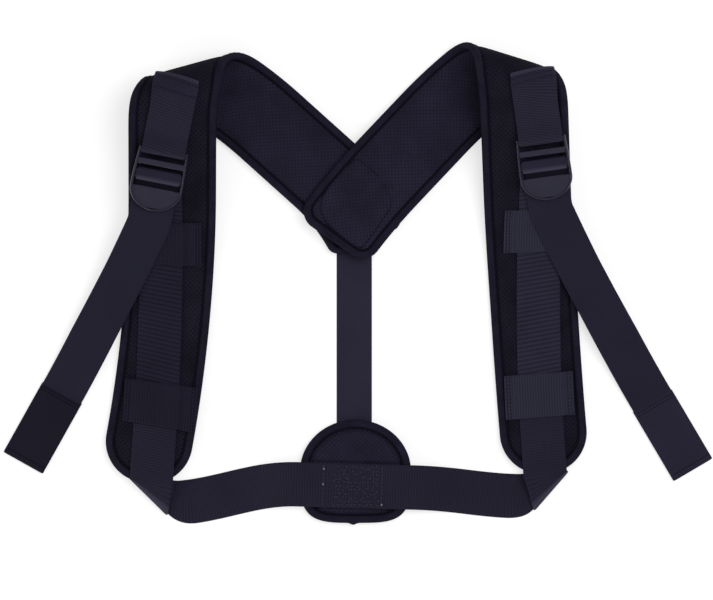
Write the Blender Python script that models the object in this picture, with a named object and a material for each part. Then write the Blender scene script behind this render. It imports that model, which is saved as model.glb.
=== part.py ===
"""Posture corrector harness, lying flat with its shoulder pads folded over.

Metres, +Z up, +Y towards the shoulders, the table at z = 0. Each side is worked out in a
mirrored plan, with x pointing outwards from the spine, and turned to its own side at the end.
"""

import math
from collections import namedtuple

import bpy
import bmesh
import numpy as np
from mathutils import Matrix, Vector

# Fits
GAP = 0.0003  # between pieces that are sewn or laid together
CUT_GAP = 0.0008  # between the two lengths of one webbing, where a moving piece takes over

# Webbing
WEB_WIDTH = 0.038
WEB_THICK = 0.0014
SPINE_WIDTH = 0.030
KEEPER_THICK = 0.0012
HEM_LENGTH = 0.070

# Shoulder pads: foam between two skins, with a tape bound round the edge
PAD_WIDTH = 0.0758
PAD_LENGTH = 0.605
FOAM_MID = 0.0044
FOAM_EDGE = 0.0020
SKIN = 0.0008
TAPE = 0.0007
TAPE_FACE = 0.0080
EDGE_PLAY = 0.0008  # from the layers' edges to the fold of the tape
V_CORNER = 0.021  # rounded corners of the end at the spine
PANEL_CORNER = 0.036  # nearly half round lower end
CROWN_EASE = 0.020  # length over which the crown rises from an end
CROWN_MARGIN = 0.0015  # flat strip between the tape and the crown

# The shoulder roll: the pad turns over, slopes down and lies flat again
FOLD_RADIUS = 0.018
RAMP_ANGLE = math.radians(14)
EASE_RADIUS = 0.200
V_BEND_LENGTH = 0.072
NECK_BEND = (0.135, 0.185)  # stretches of the pad that curve, measured from the spine
SHOULDER_BEND = (0.200, 0.290)
PANEL_BEND = (0.350, 0.570)
V_LEVEL = 0.086  # the crossed ends stay raised over this length
V_SLOPE = 0.070  # and come down to the table over this one
TIP_LEVEL = 0.012  # the panel's tip lies on the belt
TIP_SLOPE = 0.050

# Keepers sewn across each panel
KEEPER_SPAN = 0.058
KEEPER_SEAM = 0.0065  # flat end under the stitches
KEEPER_STEP = 0.004  # plan length of the step up over the riser
RISER_MID = 0.120  # from a panel's tip to where the riser's place is given

# Ladder lock buckle
BAR_RADIUS = 0.0020
BUCKLE_DEPTH = 0.0046
SLOT_SIDE = 0.0003  # play beside the webbing in the window
CHEEK_TOP = 0.0021
CHEEK_MID = 0.0028
FIRST_BAR = (0.0078, 0.0132)
GRIP_BAR = (0.0180, 0.0258)
GRIP_BAR_THICK = 0.0024
TAB_START = 0.0330
TAB_END = 0.0525
TAB_RIM = 0.0018
TAB_RECESS = 0.0014
TAB_RISE = 0.0014  # how far the thumb end lifts clear of the tail
TAB_LANDING = 0.0016  # under the tab before the tail's cut
TAB_FLAT = 0.004  # level under the tab before it rises
TOP_MARGIN = 0.001  # cheek above the top bar
FIRST_BAR_INSET = (0.0008, 0.0006)  # below and above the first bar
PLATE_EASE = 0.0009
BAR_EASE = 0.0008
GRIP_EASE = 0.0005
DISH_EASE = 0.0004
CUTTER_OVER = 0.004  # how far a cutter runs past what it cuts
TAIL_LIFT = (0.042, 0.056)  # along the buckle, where the tail climbs on the upper keeper
TAIL_DROP = 0.60  # share of the tail after which it comes down to the table
TAIL_BEND = 0.075  # past the tab, where the tail turns aside to its own line
TURN_LENGTH = 0.030  # over which the webbing turns from the buckle's line to its own
ANCHOR_EASE = 0.016  # the loop opens over this length to pass round the bar
ANCHOR_BROW = math.radians(118)  # the loop is sewn on just past the roll's outermost line
WRAP_BEND = 0.0015  # radius of the webbing's bends at the slots

# Waist belt, its folded corners and the lumbar pad
CREASE_RADIUS = 0.0011
CORNER_RUN = 0.024
BELT_FLAT_END = 0.001  # from the pad's tip to where the belt starts to turn down
LUMBAR_CENTRE = (-0.0022, -0.1623)
LUMBAR_HALF_WIDTH = 0.0483
LUMBAR_UP = 0.0448
LUMBAR_DOWN = 0.0452
LUMBAR_SQUARE = 3.8  # superellipse power of the lower half
BELT_BELOW_CENTRE = 0.0124
BELT_TILT = math.radians(1.95)  # the belt crosses the pad a little aslant
BELT_CLIMB = 0.042
BELT_MARGIN = 0.003
SPINE_X = -0.0030
SPINE_TOP = 0.0420
SPINE_TUCK = 0.0130

Side = namedtuple(
    "Side",
    "name sign arm_angle arm_offset arm_end v_bend v_lift fold_angle fold_line neck_bend bend "
    "panel_bend bar_at bar_out skew keeper_drop keeper_from_tip riser_out corner_out "
    "crease_past_tip crease_rise belt_sag tail_curl tail_length",
)

PAD_HALF = FOAM_MID / 2 + GAP + SKIN
EDGE_HALF = FOAM_EDGE / 2 + GAP + SKIN
TAPE_IN = EDGE_HALF + GAP
TAPE_OUT = TAPE_IN + TAPE
PAD_THICK = 2 * PAD_HALF
CROWN_EDGE = TAPE_FACE + CROWN_MARGIN
UNDER_STRAP = WEB_THICK + GAP

LEFT = Side(
    name="left",
    sign=-1,
    arm_angle=math.radians(42.0),
    arm_offset=0.0515,
    arm_end=0.0145,
    v_bend=math.radians(23),
    v_lift=UNDER_STRAP,
    fold_angle=math.radians(15.4),
    fold_line=0.2012,
    neck_bend=math.radians(8.4),
    bend=math.radians(25.3),
    panel_bend=math.radians(10),
    bar_at=0.3127,
    bar_out=0.0060,
    skew=math.radians(11.2),
    keeper_drop=0.0821,
    keeper_from_tip=0.0693,
    riser_out=0.0018,
    corner_out=-0.0100,
    crease_past_tip=0.0125,
    crease_rise=math.radians(4),
    belt_sag=0.0046,
    tail_curl=math.radians(16.2),
    tail_length=0.2672,
)
RIGHT = Side(
    name="right",
    sign=1,
    arm_angle=math.radians(46.7),
    arm_offset=0.0481,
    arm_end=0.0115,
    v_bend=math.radians(8),
    v_lift=UNDER_STRAP + PAD_THICK + GAP,
    fold_angle=math.radians(17.4),
    fold_line=0.2075,
    neck_bend=math.radians(7.2),
    bend=math.radians(13.5),
    panel_bend=math.radians(2.6),
    bar_at=0.3115,
    bar_out=0.0130,
    skew=math.radians(6.0),
    keeper_drop=0.0807,
    keeper_from_tip=0.0683,
    riser_out=0.0027,
    corner_out=-0.0010,
    crease_past_tip=0.0155,
    crease_rise=math.radians(0.5),
    belt_sag=0.0024,
    tail_curl=math.radians(20.2),
    tail_length=0.2856,
)

# Heights above a panel's outer face, measured along its normal
RISER_N = GAP + WEB_THICK / 2
TAIL_N = RISER_N + WEB_THICK + GAP
OVER_KEEPER_N = GAP + WEB_THICK + GAP + KEEPER_THICK + GAP + WEB_THICK / 2
BUCKLE_UNDER = TAIL_N + WEB_THICK / 2 + GAP
BAR_N = BUCKLE_UNDER + BAR_RADIUS
LOOP_RADIUS = BAR_RADIUS + GAP + WEB_THICK / 2
HEM_TOP = 1.5 * WEB_THICK + GAP  # middle of the upper layer of a tail's hem


def clear_scene():
    for item in list(bpy.data.objects):
        bpy.data.objects.remove(item, do_unlink=True)


def smooth(x):
    """Eased step from 0 to 1."""
    x = np.clip(x, 0.0, 1.0)
    return x * x * (3 - 2 * x)


def material(name, colour, roughness, metallic=0.0):
    found = bpy.data.materials.get(name)
    if found:
        return found
    made = bpy.data.materials.new(name)
    made.use_nodes = True
    shader = made.node_tree.nodes["Principled BSDF"]
    shader.inputs["Base Color"].default_value = (*colour, 1.0)
    shader.inputs["Roughness"].default_value = roughness
    shader.inputs["Metallic"].default_value = metallic
    return made


WEBBING = ("polypropylene webbing", (0.021, 0.020, 0.034), 0.62)
FACE_FABRIC = ("perforated face fabric", (0.012, 0.011, 0.020), 0.80)
LINING_FABRIC = ("perforated lining", (0.014, 0.012, 0.023), 0.78)
FOAM = ("closed cell foam", (0.030, 0.028, 0.034), 0.90)
TAPE_FABRIC = ("binding tape", (0.011, 0.010, 0.018), 0.72)
ACETAL = ("black acetal", (0.020, 0.019, 0.028), 0.34)


def add_object(name, mesh, look, parent, at=None):
    """An object whose points are in world space; at moves its origin to a joint's axis."""
    made = bpy.data.objects.new(name, mesh)
    bpy.context.scene.collection.objects.link(made)
    mesh.materials.append(material(*look))
    if at is not None:
        mesh.transform(at.inverted())
        made.matrix_world = at
    made.parent = parent
    mesh.shade_smooth()
    mesh.set_sharp_from_angle(angle=math.radians(35))
    return made


def closed_mesh(name, points, faces):
    """A mesh with its faces turned outwards."""
    mesh = bpy.data.meshes.new(name)
    mesh.from_pydata([tuple(p) for p in points], [], [tuple(f) for f in faces])
    work = bmesh.new()
    work.from_mesh(mesh)
    bmesh.ops.recalc_face_normals(work, faces=work.faces)
    work.to_mesh(mesh)
    work.free()
    return mesh


def slab(name, lower, upper):
    """A closed solid between two grids of points with the same rows and columns."""
    rows, cols = lower.shape[:2]
    count = rows * cols
    index = np.arange(count).reshape(rows, cols)
    a = index[:-1, :-1].ravel()
    b = index[:-1, 1:].ravel()
    c = index[1:, 1:].ravel()
    d = index[1:, :-1].ravel()
    # Every layer is split along the same diagonals, so that layers stay apart where they twist.
    faces = list(zip(c, b, a)) + list(zip(d, c, a))
    faces += list(zip(a + count, b + count, c + count)) + list(zip(a + count, c + count, d + count))
    rim = np.concatenate([index[0, :], index[1:, -1], index[-1, -2::-1], index[-2:0:-1, 0]])
    after = np.roll(rim, -1)
    faces += list(zip(rim, after, after + count, rim + count))
    points = np.concatenate([lower.reshape(-1, 3), upper.reshape(-1, 3)])
    return closed_mesh(name, points, faces)


def tube(name, rings):
    """A closed ring solid: section points (M) carried round a loop of stations (N)."""
    stations, sides = rings.shape[:2]
    index = np.arange(stations * sides).reshape(stations, sides)
    right = np.roll(index, -1, axis=1)
    ahead = np.roll(index, -1, axis=0)
    corner = np.roll(ahead, -1, axis=1)
    faces = list(zip(index.ravel(), right.ravel(), corner.ravel()))
    faces += list(zip(index.ravel(), corner.ravel(), ahead.ravel()))
    return closed_mesh(name, rings.reshape(-1, 3), faces)


def offset_path(a, b, half):
    """The two lines at half on either side of a path in a plane."""
    da = np.gradient(a)
    db = np.gradient(b)
    size = np.hypot(da, db)
    return (a + half * db / size, b - half * da / size), (a - half * db / size, b + half * da / size)


def roll_lengths():
    """Lengths of the pad on the roll, on the slope below it and in the curve back to level."""
    arc = FOLD_RADIUS * (math.pi + RAMP_ANGLE)
    top = FOLD_RADIUS * (1 + math.cos(RAMP_ANGLE))
    drop = EASE_RADIUS * (1 - math.cos(RAMP_ANGLE))
    return arc, (top - drop) / math.sin(RAMP_ANGLE), EASE_RADIUS * RAMP_ANGLE


def roll_levels():
    """Lengths past the start of the roll at which every piece has a station."""
    arc, ramp, ease = roll_lengths()
    level = arc + ramp
    return np.concatenate([np.linspace(0, arc, 11), [arc + ramp / 2], np.linspace(level, level + ease, 6)])


def roll(c):
    """Plan distance, height and upper normal of a pad at length c past the start of its roll."""
    turned = math.pi + RAMP_ANGLE
    arc, ramp, ease = roll_lengths()
    angle = np.clip(c, 0, arc) / FOLD_RADIUS
    plan = FOLD_RADIUS * np.sin(angle) + np.minimum(c, 0)
    height = FOLD_RADIUS * (1 - np.cos(angle))
    on_ramp = np.clip(c - arc, 0, ramp)
    plan = plan - on_ramp * math.cos(RAMP_ANGLE)
    height = height - on_ramp * math.sin(RAMP_ANGLE)
    eased = np.clip(c - arc - ramp, 0, ease) / EASE_RADIUS
    heading = turned - eased
    plan = plan - EASE_RADIUS * (np.sin(heading) - math.sin(turned))
    height = height + EASE_RADIUS * (np.cos(heading) - math.cos(turned))
    plan = plan - np.maximum(c - arc - ramp - ease, 0)
    facing = np.where(c > arc + ramp, heading, angle)
    return plan, height, -np.sin(facing), np.cos(facing)


def fold(side, flat_x, flat_y, offset, lift=0.0):
    """World points of a side's flat pattern after the roll, offset along the pad's normal."""
    nx = math.sin(side.fold_angle)
    ny = math.cos(side.fold_angle)
    along = flat_x * ny - flat_y * nx
    plan, height, n_plan, n_up = roll(flat_x * nx + flat_y * ny - side.fold_line)
    across = side.fold_line + plan + offset * n_plan
    x = side.sign * (along * ny + across * nx)
    y = -along * nx + across * ny
    z = PAD_HALF + height + offset * n_up + lift
    return np.stack(np.broadcast_arrays(x, y, z), axis=-1)


def centre_line(side, s):
    """Plan point and heading of the flat pad's middle at distance s from its end at the spine."""
    steps = np.linspace(0, PAD_LENGTH, 1200)
    turn = side.v_bend * (1 - np.clip(steps / V_BEND_LENGTH, 0, 1))
    for amount, (start, end) in (
        (-side.neck_bend, NECK_BEND),
        (side.bend, SHOULDER_BEND),
        (-side.panel_bend, PANEL_BEND),
    ):
        turn = turn + amount * np.clip((steps - start) / (end - start), 0, 1)
    heading = side.arm_angle + turn
    pace = steps[1]
    x = np.concatenate([[0], np.cumsum((np.cos(heading[1:]) + np.cos(heading[:-1])) / 2 * pace)])
    y = np.concatenate([[0], np.cumsum((np.sin(heading[1:]) + np.sin(heading[:-1])) / 2 * pace)])
    # The straight part of the arm lies on its line; a station past the bend fixes the pattern there.
    known = (V_BEND_LENGTH + NECK_BEND[0]) / 2
    reach = side.arm_end + known
    ca = math.cos(side.arm_angle)
    sa = math.sin(side.arm_angle)
    x = x - np.interp(known, steps, x) - side.arm_offset * sa + reach * ca
    y = y - np.interp(known, steps, y) + side.arm_offset * ca + reach * sa
    past = np.maximum(s - PAD_LENGTH, 0)
    at = np.interp(s, steps, heading)
    px = np.interp(s, steps, x) + past * np.cos(at)
    py = np.interp(s, steps, y) + past * np.sin(at)
    return px, py, at


def pad_lift(side, s):
    """How far the pad is raised where it lies on other pieces: at the spine and at its tip."""
    crossed = side.v_lift * (1 - smooth((s - V_LEVEL) / V_SLOPE))
    tip = UNDER_STRAP * smooth((s - (PAD_LENGTH - TIP_LEVEL - TIP_SLOPE)) / TIP_SLOPE)
    return crossed + tip


def on_pad(side, s, t, offset):
    """World points on a pad: s along it, t outwards across it, offset along its normal."""
    px, py, at = centre_line(side, s)
    return fold(side, px + t * np.sin(at), py - t * np.cos(at), offset, pad_lift(side, s))


def mid_stations(side, t):
    """Stations between a pad's rounded ends at places t across it, slanting with the roll."""
    steps = np.linspace(0, PAD_LENGTH, 600)
    px, py, at = centre_line(side, steps)
    nx = math.sin(side.fold_angle)
    ny = math.cos(side.fold_angle)
    middle = px * nx + py * ny - side.fold_line
    tilt = np.sin(at) * nx - np.cos(at) * ny
    marks = np.stack([np.interp(roll_levels(), middle + place * tilt, steps) for place in t], axis=1)
    arm = V_CORNER + (marks[0] - V_CORNER) * np.linspace(0, 1, 8)[1:-1, None]
    last = PAD_LENGTH - PANEL_CORNER
    panel = marks[-1] + (last - marks[-1]) * np.linspace(0, 1, 5)[1:-1, None]
    return np.concatenate([arm, marks, panel])


def end_stations(inset):
    """Stations and half widths round both ends of a pad, drawn in by inset."""
    quarter = np.linspace(0, math.pi / 2, 6)
    ends = []
    for corner in (V_CORNER, PANEL_CORNER):
        radius = corner - inset
        half = PAD_WIDTH / 2 - corner + radius * np.sin(quarter)
        ends.append((inset + radius * (1 - np.cos(quarter)), half))
    (first_s, first_half), (last_s, last_half) = ends
    return (first_s, first_half), (PAD_LENGTH - last_s[::-1], last_half[::-1])


def crown(across, to_end):
    """Share of the foam's crown at a distance across from the middle and from the nearer end."""
    inner = PAD_WIDTH / 2 - CROWN_EDGE
    side_share = np.clip(1 - (across / inner) ** 2, 0, 1)
    return side_share * smooth((to_end - CROWN_EDGE) / CROWN_EASE)


def pad_layers(side, parent):
    """The foam and both skins of a shoulder pad."""
    inset = TAPE + EDGE_PLAY
    half = PAD_WIDTH / 2 - inset
    inner = (PAD_WIDTH / 2 - CROWN_EDGE) / half
    shares = np.array([-1, -inner, -inner / 2, 0, inner / 2, inner, 1])
    middle = mid_stations(side, half * shares)
    (first_s, first_half), (last_s, last_half) = end_stations(inset)
    across = np.ones(len(shares))
    grid_s = np.concatenate([first_s[:, None] * across, middle, last_s[:, None] * across])
    widths = np.concatenate([first_half, np.full(len(middle), half), last_half])
    grid_t = widths[:, None] * shares[None, :]
    to_end = np.minimum(grid_s, PAD_LENGTH - grid_s)
    puff = FOAM_EDGE / 2 + (FOAM_MID - FOAM_EDGE) / 2 * crown(grid_t, to_end)
    skin_in = puff + GAP
    skin_out = skin_in + SKIN
    layers = (
        ("foam", -puff, puff, FOAM),
        ("cover", -skin_out, -skin_in, FACE_FABRIC),
        ("lining", skin_in, skin_out, LINING_FABRIC),
    )
    for part, low, high, look in layers:
        name = f"{side.name}_shoulder_{part}"
        mesh = slab(name, on_pad(side, grid_s, grid_t, low), on_pad(side, grid_s, grid_t, high))
        add_object(name, mesh, look, parent)


def tape_section():
    """Inset and height of the binding's section: a C that holds the pad's edge."""
    upper = [(TAPE_FACE, TAPE_IN), (TAPE_FACE, TAPE_OUT), (0, TAPE_OUT)]
    ring = upper + [(e, -h) for e, h in reversed(upper)] + [(TAPE, -TAPE_IN), (TAPE, TAPE_IN)]
    return np.array(ring)


def inward(loop):
    """Unit inward normals of a closed plan outline that runs anticlockwise."""
    ahead = np.roll(loop, -1, axis=0) - loop
    behind = loop - np.roll(loop, 1, axis=0)
    ahead = ahead / np.linalg.norm(ahead, axis=1)[:, None]
    behind = behind / np.linalg.norm(behind, axis=1)[:, None]
    mean = ahead + behind
    share = 1 + np.sum(ahead * behind, axis=1)
    return np.stack([-mean[:, 1], mean[:, 0]], axis=1) / share[:, None]


def pad_binding(side, parent):
    """The tape's section carried round the pad's outline."""
    half = PAD_WIDTH / 2
    (first_s, first_half), (last_s, last_half) = end_stations(0.0)
    section = tape_section()
    insets = section[:, 0]
    cross = np.linspace(-1, 1, 4)[1:-1]
    tip = np.stack([np.full(2, PAD_LENGTH), -cross * last_half[-1]], axis=1)
    heel = np.stack([np.zeros(2), cross * first_half[0]], axis=1)
    outer = []
    exact = []
    for edge in (1, -1):
        middle = mid_stations(side, edge * (half - insets))
        drawn = edge * np.tile(half - insets, (len(middle), 1))
        run = np.concatenate([first_s, mid_stations(side, np.array([edge * half]))[:, 0], last_s])
        width = np.concatenate([first_half, np.full(len(middle), half), last_half])
        outer.append(np.stack([run, edge * width], axis=1))
        exact.append(np.stack([middle, drawn], axis=2))
    loop = np.concatenate([outer[0], tip, outer[1][::-1], heel])[::-1]
    at = loop[:, None, :] + insets[None, :, None] * inward(loop)[:, None, :]
    count = len(exact[0])
    ends = len(first_s)
    left_from = len(heel) + ends
    right_from = left_from + count + 2 * ends + len(tip)
    at[left_from:left_from + count] = exact[1]
    at[right_from:right_from + count] = exact[0][::-1]
    rings = on_pad(side, at[..., 0], at[..., 1], section[None, :, 1])
    name = f"{side.name}_shoulder_binding"
    add_object(name, tube(name, rings), TAPE_FABRIC, parent)


def strip_frame(side):
    """Flat pattern point of the buckle's top bar, and the directions outwards and down the strap."""
    px, py, at = centre_line(side, np.array(side.bar_at))
    down = float(at) - side.skew
    out = np.array([math.sin(down), -math.cos(down)])
    along = np.array([math.cos(down), math.sin(down)])
    start = np.array([float(px), float(py)])
    start = start + side.bar_out * np.array([math.sin(float(at)), -math.cos(float(at))])
    return start, out, along


def on_strip(side, u, v, n):
    """World points by the buckle: u outwards, v down from its top bar, n above the panel."""
    start, out, along = strip_frame(side)
    flat_x = start[0] + u * out[0] + v * along[0]
    flat_y = start[1] + u * out[1] + v * along[1]
    return fold(side, flat_x, flat_y, -(PAD_HALF + n))


def bar_matrix(side):
    """The buckle's frame: x across, y up the strap, z away from the panel, origin in its top bar."""
    zero = np.array(0.0)
    step = np.array(0.001)
    origin = on_strip(side, zero, zero, np.array(BAR_N))
    across = (on_strip(side, side.sign * step, zero, np.array(BAR_N)) - origin) / 0.001
    up = (on_strip(side, zero, -step, np.array(BAR_N)) - origin) / 0.001
    out = np.cross(across, up)
    made = Matrix.Identity(4)
    for row in range(3):
        made[row][0] = across[row]
        made[row][1] = up[row]
        made[row][2] = out[row]
        made[row][3] = origin[row]
    return made


def strip_band(side, name, v, n, parent, at=None, slant=0.0):
    """Webbing along a path of v and n by the buckle; slant turns a station across the strip."""
    (v_low, n_low), (v_high, n_high) = offset_path(v, n, WEB_THICK / 2)
    u = np.array([-WEB_WIDTH / 2, WEB_WIDTH / 2])[None, :]
    turn = np.broadcast_to(slant, v.shape)[:, None] * u
    lower = on_strip(side, u, v_low[:, None] + turn, n_low[:, None])
    upper = on_strip(side, u, v_high[:, None] + turn, n_high[:, None])
    return add_object(name, slab(name, lower, upper), WEBBING, parent, at)


def anchor_strap(side, parent):
    """Webbing sewn at the shoulder, looped round the buckle's top bar and back on itself."""
    start, out, along = strip_frame(side)
    normal = np.array([math.sin(side.fold_angle), math.cos(side.fold_angle)])
    past = start @ normal - side.fold_line
    arc = roll_lengths()[0]
    brow = FOLD_RADIUS * ANCHOR_BROW
    levels = roll_levels()
    levels = np.concatenate([[brow], levels[(levels > brow) & (levels <= arc)]])
    sewn = (levels - past) / (along @ normal)
    leg = np.concatenate([sewn, np.linspace(sewn[-1], -ANCHOR_EASE, 4)[1:]])
    ease = np.linspace(-ANCHOR_EASE, 0, 6)[1:-1]
    share = smooth(1 + ease / ANCHOR_EASE)
    low_ease = RISER_N + (BAR_N - LOOP_RADIUS - RISER_N) * share
    top_ease = TAIL_N + (BAR_N + LOOP_RADIUS - TAIL_N) * share
    turn = np.linspace(-math.pi / 2, math.pi / 2, 9)
    v = np.concatenate([leg, ease, LOOP_RADIUS * np.cos(turn), ease[::-1], leg[::-1]])
    n = np.concatenate(
        [
            np.full(len(leg), RISER_N),
            low_ease,
            BAR_N + LOOP_RADIUS * np.sin(turn),
            top_ease[::-1],
            np.full(len(leg), TAIL_N),
        ]
    )
    aslant = np.zeros(len(v))
    aslant[: len(sewn)] = -(out @ normal) / (along @ normal)
    aslant[len(v) - len(sewn) :] = aslant[0]
    strip_band(side, f"{side.name}_anchor_strap", v, n, parent, slant=aslant)


def strap_wrap(side, parent, at):
    """The webbing's turn through the buckle: up by the first slot, over the grip bar and down."""
    first = GRIP_BAR[0]
    last = GRIP_BAR[1]
    bar_under = BUCKLE_UNDER + GAP
    bar_top = bar_under + GRIP_BAR_THICK
    r = GAP + WEB_THICK / 2
    over = bar_top + r
    rise = np.linspace(math.pi, math.pi / 2, 5)
    fall = np.linspace(math.pi / 2, 0, 5)
    bend = WRAP_BEND
    sag = np.linspace(-math.pi / 2, -math.pi, 4)
    start_v = first - r + bend
    down_v = last + r
    turn = np.linspace(-math.pi, -math.pi / 2, 4)
    v = np.concatenate(
        [
            [first + CUT_GAP],
            start_v + bend * np.cos(sag),
            first + r * np.cos(rise),
            last + r * np.cos(fall),
            down_v + bend + bend * np.cos(turn),
            [TAB_START + TAB_LANDING - CUT_GAP],
        ]
    )
    n = np.concatenate(
        [
            [RISER_N],
            RISER_N + bend + bend * np.sin(sag),
            bar_top + r * np.sin(rise),
            np.full(1, over),
            (bar_top + r * np.sin(fall))[1:],
            TAIL_N + bend + bend * np.sin(turn),
            [TAIL_N],
        ]
    )
    name = f"{side.name}_strap_wrap"
    strip_band(side, name, v, n, parent, at)


def buckle_outline(inset):
    """Half width of the buckle along v, and the ends of the D."""
    top = WEB_WIDTH / 2 + SLOT_SIDE + CHEEK_TOP - inset
    wide = WEB_WIDTH / 2 + SLOT_SIDE + CHEEK_MID - inset
    start = -BAR_RADIUS - TOP_MARGIN + inset
    v = np.linspace(start, TAB_START, 8)
    half = top + (wide - top) * np.sin((v - start) / (TAB_START - start) * math.pi / 2)
    angle = np.linspace(0, math.pi / 2, 9)[1:]
    v = np.concatenate([v, TAB_START + (TAB_END - inset - TAB_START) * np.sin(angle)])
    half = np.concatenate([half, wide * np.cos(angle)])
    return v, half


def plate(name, v, half, low, high, rim):
    """A plate with the D outline; its edges are eased by rim."""
    x = np.concatenate([half, -half[-2::-1]])
    y = -np.concatenate([v, v[-2::-1]])
    centre = np.array([0.0, -(TAB_START / 2)])
    points = []
    for height, inset in ((low, rim), (low + rim, 0.0), (high - rim, 0.0), (high, rim)):
        ring = np.stack([x, y], axis=1)
        reach = np.linalg.norm(ring - centre, axis=1)[:, None]
        ring = centre + (ring - centre) * (1 - inset / reach)
        points.append(np.column_stack([ring, np.full(len(ring), height)]))
    count = len(x)
    faces = [tuple(range(count))[::-1], tuple(range(3 * count, 4 * count))]
    for level in range(3):
        a = np.arange(count) + level * count
        b = np.roll(a, -1)
        faces += list(zip(a, b, b + count, a + count))
    return closed_mesh(name, np.concatenate(points), faces)


def block(name, x, v, z, ease=0.0):
    """A box by half width, v range and height range, with its long edges eased."""
    low_v, high_v = v
    low_z, high_z = z
    ring = [
        (low_v + ease, low_z),
        (high_v - ease, low_z),
        (high_v, low_z + ease),
        (high_v, high_z - ease),
        (high_v - ease, high_z),
        (low_v + ease, high_z),
        (low_v, high_z - ease),
        (low_v, low_z + ease),
    ]
    if ease == 0.0:
        ring = ring[0:2] + ring[4:6]
    points = [(-x, -a, b) for a, b in ring] + [(x, -a, b) for a, b in ring]
    count = len(ring)
    faces = [tuple(range(count)), tuple(range(2 * count - 1, count - 1, -1))]
    faces += [(i, (i + 1) % count, (i + 1) % count + count, i + count) for i in range(count)]
    return closed_mesh(name, points, faces)


def round_bar(name, x, radius):
    angle = np.linspace(0, 2 * math.pi, 14, endpoint=False)
    ring = np.stack([radius * np.cos(angle), radius * np.sin(angle)], axis=1)
    points = [(-x, a, b) for a, b in ring] + [(x, a, b) for a, b in ring]
    count = len(ring)
    faces = [tuple(range(count)), tuple(range(2 * count - 1, count - 1, -1))]
    faces += [(i, (i + 1) % count, (i + 1) % count + count, i + count) for i in range(count)]
    return closed_mesh(name, points, faces)


def combine(target, mesh, operation):
    """Join a mesh to the target, or cut it out, by an exact Boolean."""
    tool = bpy.data.objects.new(mesh.name, mesh)
    bpy.context.scene.collection.objects.link(tool)
    tool.hide_render = True
    tool.display_type = "WIRE"
    step = target.modifiers.new(mesh.name, "BOOLEAN")
    step.operation = operation
    step.object = tool
    step.solver = "EXACT"
    return tool


def buckle(side, parent, at):
    """Ladder lock: cheeks, three bars and a D thumb tab, in its own frame."""
    name = f"{side.name}_buckle"
    low = BUCKLE_UNDER - BAR_N
    high = low + BUCKLE_DEPTH
    window = WEB_WIDTH / 2 + SLOT_SIDE
    into = window + CHEEK_TOP / 2
    v, half = buckle_outline(0.0)
    base = bpy.data.objects.new(name, plate(name, v, half, low, high, PLATE_EASE))
    bpy.context.scene.collection.objects.link(base)
    over = CUTTER_OVER
    tools = []
    opening = block("window", window, (-BAR_RADIUS - over, TAB_START), (low - over, high + over))
    tools.append(combine(base, opening, "DIFFERENCE"))
    inner_v, inner_half = buckle_outline(TAB_RIM)
    keep = inner_v >= TAB_START
    inner_v = np.concatenate([[TAB_START - over], inner_v[keep]])
    inner_half = np.concatenate([[inner_half[keep][0]], inner_half[keep]])
    dish = plate("dish", inner_v, inner_half, high - TAB_RECESS, high + over, DISH_EASE)
    tools.append(combine(base, dish, "DIFFERENCE"))
    rise_from = TAB_START + TAB_FLAT
    under = block("under", window + over, (rise_from, TAB_END + over), (low - over, low))
    slope = math.atan2(TAB_RISE, TAB_END - rise_from)
    pivot = Matrix.Translation((0, -rise_from, low))
    under.transform(pivot @ Matrix.Rotation(-slope, 4, "X") @ pivot.inverted())
    tools.append(combine(base, under, "DIFFERENCE"))
    tools.append(combine(base, round_bar("top_bar", into, BAR_RADIUS), "UNION"))
    first_z = (low + FIRST_BAR_INSET[0], high - FIRST_BAR_INSET[1])
    first_bar = block("first_bar", into, FIRST_BAR, first_z, BAR_EASE)
    tools.append(combine(base, first_bar, "UNION"))
    grip_low = low + GAP
    grip = block("grip", into, GRIP_BAR, (grip_low, grip_low + GRIP_BAR_THICK), GRIP_EASE)
    tools.append(combine(base, grip, "UNION"))
    whole = bpy.data.meshes.new_from_object(base.evaluated_get(bpy.context.evaluated_depsgraph_get()))
    whole.name = name
    for item in tools + [base]:
        bpy.data.objects.remove(item, do_unlink=True)
    made = bpy.data.objects.new(name, whole)
    bpy.context.scene.collection.objects.link(made)
    whole.materials.clear()
    whole.materials.append(material(*ACETAL))
    made.matrix_world = at
    made.parent = parent
    whole.shade_smooth()
    whole.set_sharp_from_angle(angle=math.radians(35))


def lane(side, s):
    """Outward place of the riser's middle on the panel: a curve by the tip, mid panel and buckle."""
    d = PAD_LENGTH - s
    top = PAD_LENGTH - side.bar_at - GRIP_BAR[0]
    at_tip = (d - RISER_MID) * (d - top) / (RISER_MID * top)
    at_mid = d * (d - top) / (RISER_MID * (RISER_MID - top))
    at_top = d * (d - RISER_MID) / (top * (top - RISER_MID))
    return side.corner_out * at_tip + side.riser_out * at_mid + riser_top_out(side) * at_top


def riser_strap(side, parent):
    """Webbing up the panel, from under the lower keeper to under the grip bar."""
    low = PAD_LENGTH - side.keeper_from_tip - GAP / 2
    top = side.bar_at + GRIP_BAR[0] + 2 * CUT_GAP
    s = np.linspace(top, low, 24)[:, None]
    edge = np.array([-WEB_WIDTH, 0, WEB_WIDTH])[None, :] / 2
    # The top end is cut square to the buckle, so one edge starts a little later.
    grid = s - math.sin(side.skew) * edge * (1 - smooth((s - top) / TURN_LENGTH))
    lower = on_pad(side, grid, lane(side, s) + edge, -(PAD_HALF + GAP))
    upper = on_pad(side, grid, lane(side, s) + edge, -(PAD_HALF + GAP + WEB_THICK))
    name = f"{side.name}_riser_strap"
    add_object(name, slab(name, lower, upper), WEBBING, parent)


def riser_top_out(side):
    """Outward place on the pad of the buckle's middle at the grip bar."""
    return side.bar_out + GRIP_BAR[0] * math.sin(side.skew)


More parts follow.
